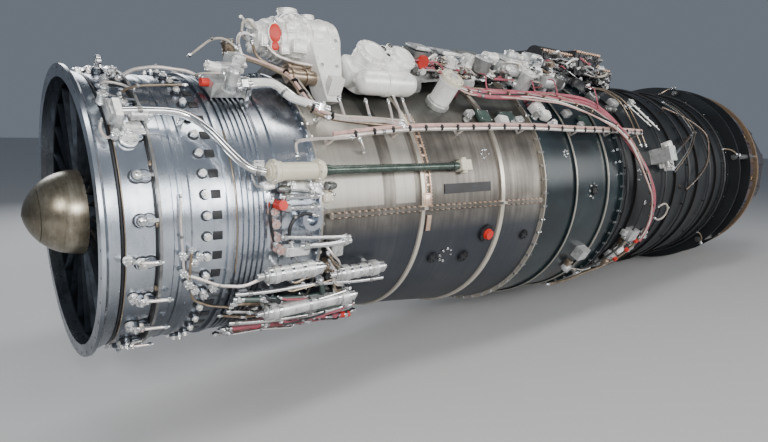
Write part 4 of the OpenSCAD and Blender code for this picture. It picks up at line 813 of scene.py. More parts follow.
def canUnit(finish, station, clock, height, radius, tall, tilt=0.0):
    base = seat(station, clock, height) @ spin(tilt, "Y")
    body = turned([(0, radius * 1.15), (6, radius * 1.15), (8, radius), (tall * 0.3, radius),
            (tall * 0.32, radius * 1.05), (tall * 0.4, radius * 1.05), (tall * 0.42, radius), (tall * 0.84, radius),
            (tall * 0.86, radius * 1.08), (tall * 0.95, radius * 1.08), (tall, radius * 0.9),
            (tall + 1, radius * 0.4), (tall + 7, radius * 0.34)], 28)
    keep(finish + "Units", finish, moved(body, base))
    for i in range(6):
        spot = spin(i * 60) @ shift(radius * 0.92, 0, tall * 0.955)
        boltAt(base @ spot)


def barrelUnit(finish, station, clock, height, radius, length, turn=0.0):
    # a lying cylinder on two saddles
    base = seat(station, clock, height + radius + 6, turn) @ spin(90, "Y")
    half = length / 2
    body = turned([(-half, radius * 0.5), (-half + 4, radius * 0.62), (-half + 6, radius * 1.1),
            (-half + 16, radius * 1.1), (-half + 18, radius), (-half * 0.3, radius), (-half * 0.28, radius * 1.04),
            (-half * 0.1, radius * 1.04), (-half * 0.08, radius), (half - 26, radius), (half - 24, radius * 1.12),
            (half - 12, radius * 1.12), (half - 8, radius * 0.8), (half, radius * 0.76), (half + 6, radius * 0.4)],
            28)
    keep(finish + "Units", finish, moved(body, base))
    for share in (-0.32, 0.3):
        saddle = block((14, radius * 1.7, radius + 8), 2.0)
        keep(finish + "Units", finish,
                moved(saddle, seat(station, clock, height, turn) @ shift(share * length, 0, 0)))
    for i in range(8):
        spot = spin(i * 45) @ shift(radius * 0.95, 0, half - 12)
        boltAt(base @ spot)


def jumper(finish, route, radius, bend=None, nuts=True, name="Jumpers"):
    line = caseLine(route)
    keep(finish + name, finish, pipe(line, radius, bend or radius * 3.5, 2))
    if nuts:
        nutAt(line[0], line[1] - line[0], radius)
        nutAt(line[-1], line[-2] - line[-1], radius)
    if len(line) > 4:
        keep("jumperClamps", "dullSteel", clampAt(line, radius, 0.5, 9.0, 1.8))


def connectorOn(station, clock, height, turn=0.0):
    keep("connectors", "dullSteel", twin(connector, seat(station, clock, height, turn) @ spin(90, "Y")))


# Front casting at the head of the bleed pipe, its elbow and the linkages beside it
boxUnit("castSilver", 76, 44, 2, (40, 64, 34), 0, 5)
boxUnit("castSilver", 112, 37, 4, (52, 34, 22), 14, 4)
canUnit("castSilver", 60, 51, 2, 13, 34)
canUnit("castSilver", 96, 47, 4, 11, 30, 24)
canUnit("castSilver", 100, 33.5, 4, 21, 14)
canUnit("castSilver", 66, 34.5, 4, 9, 24)
barrelUnit("castSilver", 132, 40.5, 18, 15, 60)
jumper("pipePaint", [(40, 40, 14), (30, 36, 10), (44, 33, 10), (60, 33.5, 26)], 4)
jumper("bronzeMetal", [(98, 50, 40), (124, 54, 34), (160, 57, 30), (230, 58, 30), (300, 58.5, 30)], 4)
jumper("pipePaint", [(120, 62, 30), (170, 68, 40), (240, 70, 46), (330, 66, 46), (352, 62, 40)], 6)
jumper("pipePaint", [(60, 58, 22), (90, 62, 20), (124, 60, 20), (150, 55, 26)], 4)
for spot in ((74, 56.5), (88, 64), (110, 70), (132, 76)):
    canUnit("castSilver", spot[0], spot[1], 2, 10, 24)
# T fittings low on the inlet case
for station, clock, reach in ((66, -10, 44), (84, -26, 60), (88, -42, 66), (92, -62, 50), (86, -80, 60),
        (70, 96, 50), (80, 128, 60), (88, 150, 54), (84, 182, 60), (80, 214, 60), (90, 240, 50)):
    canUnit("castSilver", station, clock, 2, 12, 16)
    canUnit("pipePaint", station + 30, clock - 0.8, 6, 8, 18)
    jumper("pipePaint",
            [(station + 8, clock, 16), (station + 34, clock - 0.6, 24), (station + 34 + reach, clock - 1, 26)], 5)
# thin tubes on the middle panel
jumper("pipePaint", [(206, 12, 10), (200, 2, 12), (204, -8, 12), (210, -16, 14), (228, -21, 16)], 3.5)
jumper("bronzeMetal", [(228, -8, 14), (226, -20, 16), (246, -30, 18), (300, -34, 22), (372, -36, 28)], 4)
jumper("pipePaint", [(214, -18, 12), (256, -20, 20), (309, -22.6, 36), (372, -22, 60), (428, -18.4, 72)], 5)
for station, clock, size in ((204, -10, 9), (208, -17, 9), (226, -22, 11), (236, -13, 8), (252, -11, 9),
        (246, -25, 10), (276, -28, 10), (300, -25, 11)):
    canUnit("castSilver", station, clock, 8, size, 16)
closePiece("pipePaintJumpers")
closePiece("bronzeMetalJumpers")
print("stage 7: front fittings")

# Actuator dress: bolted flanges, fittings, wire stirrup, and its bracket casting
actuatorAxis = {"clock": 17, "radius": 522}


def onActuator(station):
    return around(station, actuatorAxis["clock"], actuatorAxis["radius"])


for station, grow in ((452, 37), (472, 31), (604, 36), (618, 30)):
    ringAt("actuatorRings", "creamPaint", [(-5, grow - 2), (-4, grow), (4, grow), (5, grow - 2)], 32,
            onActuator(station))
for i in range(8):
    angle = spin(i * 45)
    for station in (452, 604):
        boltAt(aimed(onActuator(station), (-1, 0, 0)) @ angle @ shift(33, 0, 4))
keep("greenTube", "actuatorGreen", pipe([onActuator(x) for x in (624, 900, 1246)], 14.5, 20, 5))
for station in (640, 1220):
    ringAt("greenTube", "actuatorGreen", [(-9, 15), (-8, 18), (8, 18), (9, 15)], 24, onActuator(station))
boxUnit("castSilver", 420, 19.8, 46, (34, 26, 22), 0, 3)
boxUnit("castSilver", 446, 13.0, 30, (36, 26, 24), 8, 3)
jumper("steel", [(404, 17, 40), (410, 13, 40), (440, 12.6, 42), (474, 13.4, 44)], 3.2, nuts=False)
jumper("pipePaint",
        [(540, 21.5, 76), (542, 24, 74), (552, 27.6, 66), (618, 28.6, 62), (700, 28.8, 60), (772, 29.1, 56)], 5)
jumper("pipePaint", [(808, 29.6, 44), (815, 27.5, 40), (824, 25.5, 30), (836, 25, 14)], 5)
boxUnit("castSilver", 556, 12.6, 4, (80, 36, 26), -6, 4)
boxUnit("castSilver", 620, 10.6, 4, (46, 44, 22), 10, 4)
boxUnit("creamPaint", 664, 7.6, 4, (36, 30, 18), 0, 3)
canUnit("castSilver", 600, 12.4, 26, 13, 18)
canUnit("castSilver", 528, 13.0, 22, 11, 16)
jumper("bronzeMetal", [(640, 12, 24), (664, 10.4, 24), (690, 8.5, 14)], 4)
connectorOn(650, 11.8, 34)
connectorOn(520, 11.6, 34, 180)

# Side cluster ahead of and below the actuator
jumper("steel", [(500, 8.8, 40), (560, 8.6, 42), (606, 8.4, 40)], 9)
jumper("steel", [(500, 4.7, 40), (560, 4.6, 42), (604, 4.4, 40)], 9)
jumper("blackPaint",
        [(602, 1.5, 44), (560, 2.6, 46), (528, 1.4, 46), (508, -2.0, 46), (512, -6.0, 44), (524, -8.6, 40)], 6, 30)
jumper("blackPaint", [(470, 8, 20), (456, 3, 24), (462, -4, 26), (476, -9, 26)], 5, 26)
jumper("steel", [(488, -5.2, 50), (600, -6.4, 54), (716, -7.2, 54)], 7)
jumper("steel", [(560, -9.2, 50), (640, -9.4, 54), (716, -8.9, 54)], 10)
for station, clock, radius, tall in ((470, 3.5, 12, 24), (474, -1.0, 13, 26), (480, -6, 12, 26),
        (492, -11, 13, 30)):
    canUnit("paleHose", station, clock, 8, radius, tall)
boxUnit("castSilver", 544, -11.4, 14, (84, 30, 34), -3, 4)
boxUnit("castSilver", 690, -12, 6, (44, 60, 40), 6, 5)
boxUnit("bronzeMetal", 676, -20, 6, (30, 44, 34), 12, 4)
boxUnit("castSilver", 718, -26, 6, (40, 46, 36), -8, 5)
boxUnit("bronzeMetal", 764, -36, 6, (44, 40, 34), 14, 4)
for k in range(7):
    jumper("bronzeMetal" if k % 2 else "pipePaint",
            [(640 + k * 12, -10 - k * 3.2, 44), (668 + k * 10, -14 - k * 3.4, 56),
            (700 + k * 10, -17 - k * 3.0, 50), (724 + k * 9, -21 - k * 2.6, 30)], 4.5)
jumper("greenPaint", [(640, -24, 50), (668, -30, 50), (690, -38, 44)], 9, 30)
# filter shells over the solids, with their ends and bands
for x0, x1, clock, height in ((430, 592, -17.5, 76), (462, 774, -35, 74), (700, 860, -22, 60)):
    axisRadius = skin(x0) + height
    for station, grow in ((x0 + 8, 2.4), (x0 + 44, 2.0), ((x0 + x1) / 2, 2.2), (x1 - 40, 2.2)):
        ringAt("filterBands", "steel", [(-6, 24), (-5, 24 + grow), (5, 24 + grow), (6, 24)], 32,
                around(station, clock, axisRadius))
    knurl = [(-2, 20), (0, 25), (10, 25.5), (12, 22), (30, 22), (32, 14), (44, 12)]
    ringAt("filterBands", "dullSteel", knurl, 12, around(x1, clock, axisRadius))
    nose = [(-2, 18), (8, 16), (10, 10), (30, 9), (32, 7)]
    ringAt("filterBands", "steel", nose, 16, around(x0, clock, axisRadius), (-1, 0, 0))
# lower runs with their unions, and the pink tube along the bottom
lowRuns = [
    ("greenPaint", 9, [(372, -30.5, 36), (460, -32, 40), (600, -33.6, 44), (700, -33.6, 44), (786, -33.4, 36)]),
    ("bronzeMetal", 7, [(366, -33.5, 30), (470, -35.8, 30), (540, -38, 26), (620, -38.6, 26), (800, -39, 30)]),
    ("dullSteel", 6, [(360, -37.4, 34), (430, -39.4, 36), (500, -41, 36), (640, -42, 40), (830, -42, 36)]),
    ("greenPaint", 11, [(520, -41, 56), (640, -40.6, 58), (800, -39.6, 54)]),
    ("bronzeMetal", 5, [(340, -41, 24), (420, -44, 28), (560, -46, 30), (700, -47.4, 30), (880, -49, 26)]),
    ("pinkHose", 9, [(384, -52.4, 34), (520, -52.6, 40), (700, -56, 44), (905, -60, 38)]),
    ("blackPaint", 6, [(380, -56, 26), (560, -58, 30), (760, -62, 34), (960, -66, 26)]),
    ("bronzeMetal", 8, [(420, -62, 30), (620, -66, 34), (860, -72, 34), (1040, -76, 26)]),
    ("pipePaint", 7, [(400, -70, 26), (640, -76, 32), (900, -84, 32), (1050, -88, 24)]),
]
for finish, radius, route in lowRuns:
    jumper(finish, route, radius, name="LowRuns")
    line = caseLine(route)
    for share in (0.2, 0.42, 0.66, 0.84):
        spot = min(len(line) - 2, round(share * (len(line) - 1)))
        nutAt(line[spot], line[spot + 1] - line[spot], radius, "lowUnions")
lowClutter = {"seed": 5, "count": 46}
random.seed(lowClutter["seed"])
for k in range(lowClutter["count"]):
    x0, span, clock = random.uniform(372, 640), random.uniform(90, 260), random.uniform(-60, -27)
    rise = random.uniform(20, 66) if clock > -50 else random.uniform(16, 40)
    fall = random.uniform(-6, 6)
    finish = random.choice(("chromeTube", "blackPaint", "pinkHose", "blackPaint", "blackPaint", "dullSteel",
            "bronzeMetal", "pinkHose"))
    jumper(finish,
            [(x0, clock, rise - 14), (x0 + 14, clock, rise),
            (x0 + span * 0.5, clock + fall * 0.4, rise + random.uniform(-8, 8)), (x0 + span, clock + fall, rise),
            (x0 + span + 14, clock + fall, rise - 14)], random.choice((2.5, 3, 4, 5)), 20, name="LowRuns")
for x0, x1 in ((484, 530), (872, 918)):
    redPart = pipe(caseLine([(x0, -52.4 - (x0 - 384) * 0.0148, 37), (x1, -52.4 - (x1 - 384) * 0.0148, 39)]), 12.5)
    keep("redSleeves", "redCover", redPart)
lowBoxes = [(404, -31), (430, -36), (458, -41), (520, -46), (566, -50), (640, -52), (700, -44), (780, -46),
        (840, -54), (470, -60), (600, -70), (760, -70), (900, -66)]
for k, (station, clock) in enumerate(lowBoxes):
    boxUnit(("castSilver", "bronzeMetal", "dullSteel")[k % 3], station, clock, 2,
            (26 + 4 * (k % 3), 22, 18 + 3 * (k % 4)), k * 17, 3)
print("stage 8: side cluster")

# Top of the fan case: valve, grey box, thick pipe and the loom that joins the clamped pipe
boxUnit("castSilver", 428, 60, 78, (84, 44, 14), 0, 3)
canUnit("castSilver", 414, 53, 40, 19, 78)
canUnit("whiteCast", 388, 58, 90, 15, 40, -80)
boxUnit("castSilver", 470, 66, 60, (52, 48, 46), 12, 4)
canUnit("bronzeMetal", 478, 72, 92, 21, 44, -20)
jumper("looseWire", [(470, 66, 128), (440, 68, 150), (404, 70, 142), (380, 72, 110), (352, 74, 76)], 4, 26)
jumper("looseWire", [(486, 68, 128), (500, 72, 152), (530, 76, 150), (560, 78, 130)], 4, 26)
jumper("looseWire", [(350, 64, 36), (330, 60, 60), (352, 56, 84), (392, 54, 96)], 3.5, 30)
barrelUnit("bronzeMetal", 724, 65, 24, 27, 150)
jumper("whiteCast",
        [(452, 54.5, 58), (520, 54.5, 66), (572, 54, 64), (584, 49, 62), (600, 46.6, 60), (640, 44.8, 58),
        (704, 42, 56)], 14, 34)
loomRuns = [
    ("paleHose", 6.5, [(500, 70, 96), (560, 67, 84), (640, 61.5, 70), (650, 50, 60), (660, 42, 58), (720, 38.6, 58),
            (860, 36.5, 58), (1000, 34.6, 60)]),
    ("bronzeMetal", 5, [(500, 67.5, 92), (570, 64.5, 80), (632, 58, 68), (640, 48, 58), (652, 40.2, 56),
            (716, 37, 54), (850, 35.2, 52), (990, 33.8, 54)]),
    ("looseWire", 4, [(520, 72, 90), (600, 66, 78), (662, 60, 66), (668, 49, 62), (676, 41.5, 62), (730, 37.8, 64),
            (870, 37.2, 62), (1010, 36, 60)]),
    ("pipePaint", 7, [(700, 38, 54), (800, 36, 60), (930, 35.6, 62), (1010, 33.4, 58)]),
]
for finish, radius, route in loomRuns:
    jumper(finish, route, radius, 26, name="Loom")
for k in range(16):
    route = loomRuns[0][2]
    line = caseLine(route)
    spot = 2 + k * (len(line) - 4) // 16
    ringAt("loomTies", "blackPaint", [(-4, 10), (-3, 15), (3, 15), (4, 10)], 10,
            line[spot] + Vector((0, 0, -2)), line[spot + 1] - line[spot])
for x0, a0, x1, a1 in ((764, 45, 770, 37), (870, 44, 874, 37.5), (968, 44, 966, 36), (1010, 48, 1004, 35),
        (1040, 45, 1050, 34)):
    jumper("pipePaint", [(x0, a0, 78), (x0 + 2, (a0 + a1) / 2, 66), (x1, a1, 56)], 5)

# Starter turbine: bands, bolt circles, ribs, red tag and blanks
starterAxis = Vector((0, -150, 582))
for station, radius, grow in ((569, 42, 5), (590, 49, 3), (607, 51, 12), (626, 64, 3), (643, 67, 9), (663, 77, 4),
        (692, 84, 3), (733, 91, 3), (762, 83, 4), (786, 82, 3), (826, 88, 3), (852, 85, 3)):
    ringAt("starterRings", "whiteCast",
            [(-4, radius - 6), (-3, radius + grow), (3, radius + grow), (4, radius - 6)], 48,
            starterAxis + Vector((station, 0, 0)))
for station, radius in ((603, 61), (639, 74), (729, 90), (822, 88)):
    for i in range(20):
        spot = aimed(starterAxis + Vector((station, 0, 0)), (-1, 0, 0)) @ spin(i * 18)
        boltAt(spot @ shift(radius - 5, 0, 0))
fin = block((44, 5, 8), 1.2)
for i in range(24):           # short fins between the wide rings
    finSpot = Matrix.Translation(starterAxis) @ spin(i * 15, "X")
    keep("starterRings", "whiteCast", twin(fin, finSpot @ shift(707, 0, 80)))
bpy.data.objects.remove(fin)
for height, wide, tall in ((592, 22, 31), (550, 14, 15)):      # red tag of two oval blanks
    tag = turned([(0, 1), (5, 1), (6, 0.94), (8, 0.8), (8.6, 0.5)], 28)
    tag.data.transform(Matrix.Diagonal((wide, tall, 1, 1)))
    keep("redTags", "redCover", moved(tag, shift(617, -214, height) @ spin(90, "X")))
    rim = turned([(0, 1.12), (4, 1.12), (4.6, 1.06)], 28)
    rim.data.transform(Matrix.Diagonal((wide, tall, 1, 1)))
    whitePart(moved(rim, shift(617, -212, height) @ spin(90, "X")))
for spot, size, turn in (((700, -232, 556), (54, 44, 14), 0), ((668, -222, 612), (34, 26, 16), 12),
        ((778, -226, 600), (44, 34, 16), 0), ((584, -196, 566), (26, 40, 14), 0),
        ((838, -232, 560), (34, 30, 16), 20), ((648, -214, 540), (30, 30, 20), 8)):
    whitePart(moved(block(size, 2.4, 4, 5), Matrix.Translation(spot) @ spin(90, "X") @ spin(turn)))
for spot, radius, tall, turn in (((690, -170, 674), 30, 12, 0), ((790, -140, 672), 22, 12, 0),
        ((640, -196, 624), 14, 26, 50), ((596, -182, 616), 12, 22, 40), ((548, -166, 606), 11, 28, 20),
        ((556, -160, 552), 15, 26, 150), ((880, -150, 642), 13, 24, 10), ((668, -222, 640), 10, 24, 60),
        ((722, -226, 634), 9, 20, 60)):
    body = turned([(0, radius * 1.2), (4, radius * 1.2), (5, radius), (tall * 0.7, radius),
            (tall * 0.72, radius * 1.15), (tall * 0.9, radius * 1.15), (tall, radius * 0.7)], 24)
    whitePart(moved(body, Matrix.Translation(spot) @ spin(turn, "X")))
legEdges = {"front": [(752, -193, 647), (745, -232, 600), (745, -286, 490), (748, -343, 376)],
        "rear": [(872, -193, 647), (866, -232, 600), (838, -286, 490), (796, -343, 378)]}
for edge in legEdges.values():          # raised edges of the leaning leg
    whitePart(pipe(edge, 5, 20))
for x, y, z in ((762, -236, 593), (850, -236, 593), (762, -284, 498), (824, -284, 498), (760, -328, 410),
        (792, -328, 410)):
    keep("unitBolts", "steel", twin(hexBolt, aimed((x, y, z), (0, -0.9, 0.44))))
jumperPoints = [
    ([(590, -200, 560), (610, -222, 520), (690, -234, 500), (742, -250, 496)], 6, "pipePaint"),
    ([(548, -186, 560), (552, -206, 510), (600, -226, 480), (720, -246, 462)], 5, "bronzeMetal"),
    ([(620, -205, 628), (650, -214, 660), (700, -212, 668), (760, -200, 652)], 4, "steel"),
    ([(566, -160, 582), (520, -166, 590), (496, -184, 560), (496, -216, 500), (500, -236, 470)], 6, "whiteCast"),
    ([(570, -180, 600), (528, -196, 624), (506, -206, 616), (498, -214, 580)], 4, "looseWire"),
    ([(566, -140, 600), (530, -150, 640), (516, -170, 636)], 5, "whiteCast"),
]
for points, radius, finish in jumperPoints:
    keep(finish + "Jumpers", finish, pipe(points, radius, radius * 4))
    nutAt(points[0], Vector(points[1]) - Vector(points[0]), radius)
thickPipe = {"radius": 25, "from": (640, -252, 452), "to": (776, -262, 450)}      # bronze pipe below the starter
keep("bronzeMetalUnits", "bronzeMetal", pipe([thickPipe["from"], thickPipe["to"]], thickPipe["radius"], 20, 6))
for share in (0.12, 0.5, 0.88):
    here = Vector(thickPipe["from"]).lerp(Vector(thickPipe["to"]), share)
    ringAt("bronzeMetalUnits", "bronzeMetal", [(-5, 27), (-4, 30), (4, 30), (5, 27)], 28, here)

# Housing with two round covers: rims, bolts, bands, black plugs between them and its feet
tankFrame = shift(0, -345, 553) @ spin(48, "X")
for x, radius in ((940, 61), (1080, 54)):
    rim = turned([(-10, radius - 2), (-9, radius + 3), (-2, radius + 3), (0.6, radius + 1), (1.2, radius - 6),
            (0.6, radius - 9)], 48)
    cover = turned([(9, radius - 15), (12, radius - 16), (13, radius - 19), (13, radius - 28), (10.6, radius - 30)],
            48)
    whitePart([moved(rim, tankFrame @ shift(x, 0, 0)), moved(cover, tankFrame @ shift(x, 0, 0))])
    for height in (-36, -74, -112):
        rib = turned([(height - 3, radius - 3), (height - 2.4, radius + 2), (height + 2.4, radius + 2),
                (height + 3, radius - 3)], 48)
        whitePart(moved(rib, tankFrame @ shift(x, 0, 0)))
    for i in range(12):
        spot = tankFrame @ shift(x, 0, 1) @ spin(i * 30)
        boltAt(spot @ shift(radius - 5, 0, 0))
for x, y, radius in ((1002, 30, 13), (1046, 50, 10), (1010, -2, 8)):
    plug = turned([(-24, radius), (2, radius), (3, radius - 1), (3, radius - 4), (1, radius - 5)], 20)
    collar = turned([(-26, radius + 4), (0, radius + 4), (1, radius + 3)], 20)
    keep("blackPaintUnits", "blackPaint", moved(plug, tankFrame @ shift(x, y, -1)))
    whitePart(moved(collar, tankFrame @ shift(x, y, -1)))
for x, y, size in ((890, -30, (26, 70, 14)), (1010, -58, (60, 14, 30)), (1140, -20, (18, 64, 14))):
    whitePart(moved(block(size, 2.4), tankFrame @ shift(x, y, -96)))
for x, y, z, radius, tall, turn in ((960, -352, 446, 13, 26, 150), (1022, -356, 440, 11, 24, 160),
        (1078, -360, 448, 14, 28, 150), (1140, -330, 470, 9, 24, 130), (906, -330, 470, 10, 24, 140)):
    body = turned([(0, radius), (tall * 0.5, radius), (tall * 0.52, radius * 1.25), (tall * 0.8, radius * 1.25),
            (tall, radius * 0.7)], 18)
    whitePart(moved(body, shift(x, y, z) @ spin(turn, "X")))
bellyFrom, bellyTo = Vector((868, -352, 446)), Vector((1118, -372, 450))
half = (bellyTo - bellyFrom).length / 2
bellyProfile = [(-half, 8), (-half + 3, 24), (-half + 12, 38), (-half + 30, 45), (-20, 46), (-18, 49), (-6, 49),
        (-4, 46), (half - 34, 45), (half - 14, 36), (half - 3, 22), (half, 8)]
ringAt("whiteCastUnits", "whiteCast", bellyProfile, 32, (bellyFrom + bellyTo) / 2, bellyTo - bellyFrom)
whitePart(moved(block((150, 60, 96), 12), tankFrame @ shift(1006, -22, -116)))
whitePart(moved(block((70, 96, 84), 14), tankFrame @ shift(890, 0, -140)))
drum = {"station": 1290, "clock": 50}          # white shell and cream lid of the pump drum
shell = turned([(12, 44), (14, 43), (96, 43), (98, 47.4), (106, 47.4), (108, 43.4)], 48)
lid = turned([(104, 47), (121, 47), (123, 45), (123, 39), (121, 37), (121, 14), (124, 13), (126, 8)], 48)
whitePart(moved(shell, seat(drum["station"], drum["clock"], 12)))
keep("drumLid", "creamPaint", moved(lid, seat(drum["station"], drum["clock"], 12)))
for i in range(10):
    boltAt(seat(drum["station"], drum["clock"], 133) @ spin(i * 36) @ shift(42, 0, 1))
print("stage 9: starter and tank")

# Units on the gearbox and along the top flank
tableUnits = [        # finish, kind, station, clock, height, size or (radius, length), turn
    ("castSilver", "box", 1252, 68, 156, (84, 72, 8), 0), ("whiteCast", "can", 1236, 74, 84, (20, 56), 0),
    ("castSilver", "box", 1467, 73, 118, (140, 112, 8), 0), ("whiteCast", "can", 1430, 66, 84, (26, 40), 0),
    ("castSilver", "can", 1500, 66, 84, (22, 36), 0), ("dullSteel", "barrel", 1350, 68, 84, (17, 90), 0),
    ("whiteCast", "box", 1562, 68, 84, (44, 50, 40), 8), ("castSilver", "can", 1610, 64, 122, (36, 8), 0),
    ("whiteCast", "barrel", 1700, 68, 84, (22, 90), 0), ("castSilver", "box", 1852, 68, 104, (168, 120, 10), 0),
    ("whiteCast", "can", 1850, 57, 94, (34, 10), 0), ("castSilver", "box", 1800, 61, 60, (56, 40, 26), 0),
    ("castSilver", "can", 1930, 74, 84, (34, 50), 0), ("whiteCast", "box", 1995, 74, 84, (60, 70, 36), 6),
    ("castSilver", "box", 2100, 74, 90, (80, 70, 40), -4), ("dullSteel", "can", 2110, 57, 30, (30, 60), 0),
    ("whiteCast", "box", 1815, 42, 4, (60, 50, 40), 12), ("whiteCast", "box", 1850, 38.4, 4, (46, 40, 34), -14),
    ("whiteCast", "can", 1880, 34, 4, (16, 32), 0), ("castSilver", "can", 1790, 38.5, 4, (14, 40), 0),
    ("greenPaint", "box", 1600, 38, 4, (90, 56, 22), 4), ("whiteCast", "box", 1560, 36.5, 4, (52, 36, 30), -8),
    ("castSilver", "box", 1660, 36.2, 4, (44, 30, 26), 10), ("castSilver", "can", 1610, 34.6, 4, (13, 26), 0),
    ("castSilver", "box", 1404, 41.5, 4, (40, 26, 22), 6), ("greenPaint", "box", 1478, 40, 4, (70, 60, 16), -6),
    ("castSilver", "can", 1380, 39, 4, (12, 26), 0), ("castSilver", "box", 2040, 40, 4, (46, 36, 26), 8),
    ("greenPaint", "box", 2160, 36, 4, (80, 60, 14), 0), ("castSilver", "box", 2110, 34, 4, (30, 24, 20), 0),
    ("dullSteel", "box", 2360, 50, 10, (60, 50, 36), 0), ("castSilver", "box", 2600, 50, 6, (54, 44, 32), -8),
    ("dullSteel", "barrel", 2480, 44, 10, (16, 110), 0), ("castSilver", "can", 2790, 50, 6, (20, 46), 0),
]
for finish, kind, station, clock, height, size, turn in tableUnits:
    if kind == "box":
        boxUnit(finish, station, clock, height, size, turn, 5)
    elif kind == "can":
        canUnit(finish, station, clock, height, size[0], size[1], turn)
    else:
        barrelUnit(finish, station, clock, height, size[0], size[1], turn)
# near wall: small fittings that point to the near side, with short pipes among them
wallClutter = {"seed": 11, "fittings": 210, "ahead": 150, "pipes": 70, "spread": 0.618034}
random.seed(wallClutter["seed"])
wallStops = [(1180, -236, 520, 590), (1735, -236, 515, 590), (1760, -286, 500, 606), (1940, -286, 500, 606),
        (1990, -300, 500, 640), (2170, -270, 520, 640), (2200, -196, 560, 700), (2720, -200, 560, 700),
        (2900, -186, 560, 640)]


def wallAt(x):
    # depth of the near wall and its lowest and highest z at a station
    for first, last in zip(wallStops, wallStops[1:]):
        if x <= last[0]:
            t = max(0.0, (x - first[0]) / (last[0] - first[0]))
            return [first[i] + (last[i] - first[i]) * t for i in (1, 2, 3)]
    return wallStops[-1][1:]


def stub(radius, length, sides=10):
    return turned([(-24, radius), (length * 0.4, radius), (length * 0.42, radius * 1.35),
            (length * 0.6, radius * 1.35), (length * 0.62, radius * 0.8), (length, radius * 0.74)], sides)


wallFinishes = ["castSilver", "whiteCast", "castSilver", "whiteCast", "steel", "dullSteel", "blackPaint",
        "bronzeMetal"]
for k in range(wallClutter["fittings"]):
    ahead, share = k < wallClutter["ahead"], (k * wallClutter["spread"]) % 1
    x = 1190 + 960 * share if ahead else 2200 + 700 * share
    y, low, high = wallAt(x)
    place = Vector((x, y + 6, low + (high - low) * random.random()))
    heading = Vector((random.uniform(-0.5, 0.5), -1, random.uniform(-0.5, 0.5)))
    finish = random.choice(wallFinishes if ahead else ["dullSteel", "blackPaint", "castSilver"])
    kind = random.random()
    if kind < 0.4:
        part = moved(stub(random.uniform(6, 15), random.uniform(18, 52)), aimed(place, heading))
    elif kind < 0.7:
        size = (random.uniform(18, 52), random.uniform(14, 38), random.uniform(12, 40))
        part = moved(block(size, 2.0, random.choice((0, 3)), 3), aimed(place, heading) @ shift(0, 0, -4))
    elif kind < 0.85:
        part = twin(connector, aimed(place, heading) @ Matrix.Scale(random.uniform(0.5, 0.9), 4))
    else:
        part = twin(pipeNut, aimed(place + heading * 12, heading) @ Matrix.Scale(random.uniform(0.9, 1.6), 4))
    keep(finish + "Fittings", finish, part)
for k in range(wallClutter["pipes"]):
    x = 1190 + 1500 * random.random()
    y, low, high = wallAt(x)
    z = low + (high - low) * random.random()
    reach = random.uniform(30, 130) * random.choice((-1, 1))
    farther, farLow, farHigh = wallAt(x + reach)
    farZ = min(farHigh, max(farLow, z + random.uniform(-50, 50)))
    out = random.uniform(18, 46)
    finish = random.choice(("steel", "pipePaint", "bronzeMetal", "chromeTube", "whiteCast", "looseWire",
            "pinkHose"))
    radius = random.choice((3, 3.5, 4, 5, 6))
    points = [(x, y, z), (x, y - out, z),
            (x + reach * 0.5, (y + farther) / 2 - out - 6, (z + farZ) / 2 + random.uniform(-14, 14)),
            (x + reach, farther - out, farZ), (x + reach, farther, farZ)]
    keep(finish + "Jumpers", finish, pipe(points, radius, radius * 3, 2))
print("stage 10: gearbox units")

# Dark boxes over the rear duct: covers, bolt rows, sockets and round caps
for (x, y, z), (sx, sy), count in (((2355, -65, 720), (300, 220), 9), ((2595, -84, 740), (226, 232), 8),
        ((2815, -60, 675), (170, 210), 6)):
    for i in range(count):
        for side in (-1, 1):
            keep("boxBolts", "salmonMetal",
                    twin(hexBolt, shift(x - sx / 2 + i * sx / (count - 1), y + side * sy / 2, z)
                    @ Matrix.Scale(0.9, 4)))
for x, y, z, wide, tall in ((2250, -190, 664, 90, 70), (2370, -190, 664, 110, 70), (2595, -215, 664, 180, 110),
        (2815, -180, 628, 130, 64)):
    keep("blackPaintUnits", "blackPaint", moved(block((wide, tall, 6), 2, 3, 8), shift(x, y, z) @ spin(90, "X")))
for x, y, z in ((2216, -196, 640), (2300, -196, 690), (2430, -196, 650), (2520, -221, 640), (2560, -221, 700),
        (2650, -221, 640), (2680, -221, 700), (2760, -186, 620), (2860, -186, 640)):
    keep("connectors", "dullSteel", twin(connector, aimed((x, y, z), (0, -1, 0.1))))
for x, z, radius in ((2109, 522, 44), (2448, 533, 52), (2290, 560, 36)):       # round black caps
    dome = [(-70, 0.8), (-12, 0.9), (-10, 1.1), (2, 1.1), (4, 1), (14, 0.96), (26, 0.84), (34, 0.66), (40, 0.4),
            (42, 0.15)]
    ringAt("domeCaps", "blackPaint", [(h, radius * grow) for h, grow in dome], 32, (x, -248, z), (-0.25, -1, 0.25))
for (x0, y, z0), (x1, z1) in (((2200, -193, 714), (2460, 714)), ((2478, -218, 734), (2712, 734)),
        ((2728, -183, 668), (2902, 668)), ((2708, -219, 620), (2708, 734)), ((2900, -184, 588), (2900, 668))):
    count = 3 + round(math.hypot(x1 - x0, z1 - z0) / 30)
    for i in range(count):
        t = i / (count - 1)
        keep("boxBolts", "salmonMetal",
                twin(hexBolt, aimed((x0 + (x1 - x0) * t, y, z0 + (z1 - z0) * t), (0, -1, 0))
                @ Matrix.Scale(1.2, 4)))

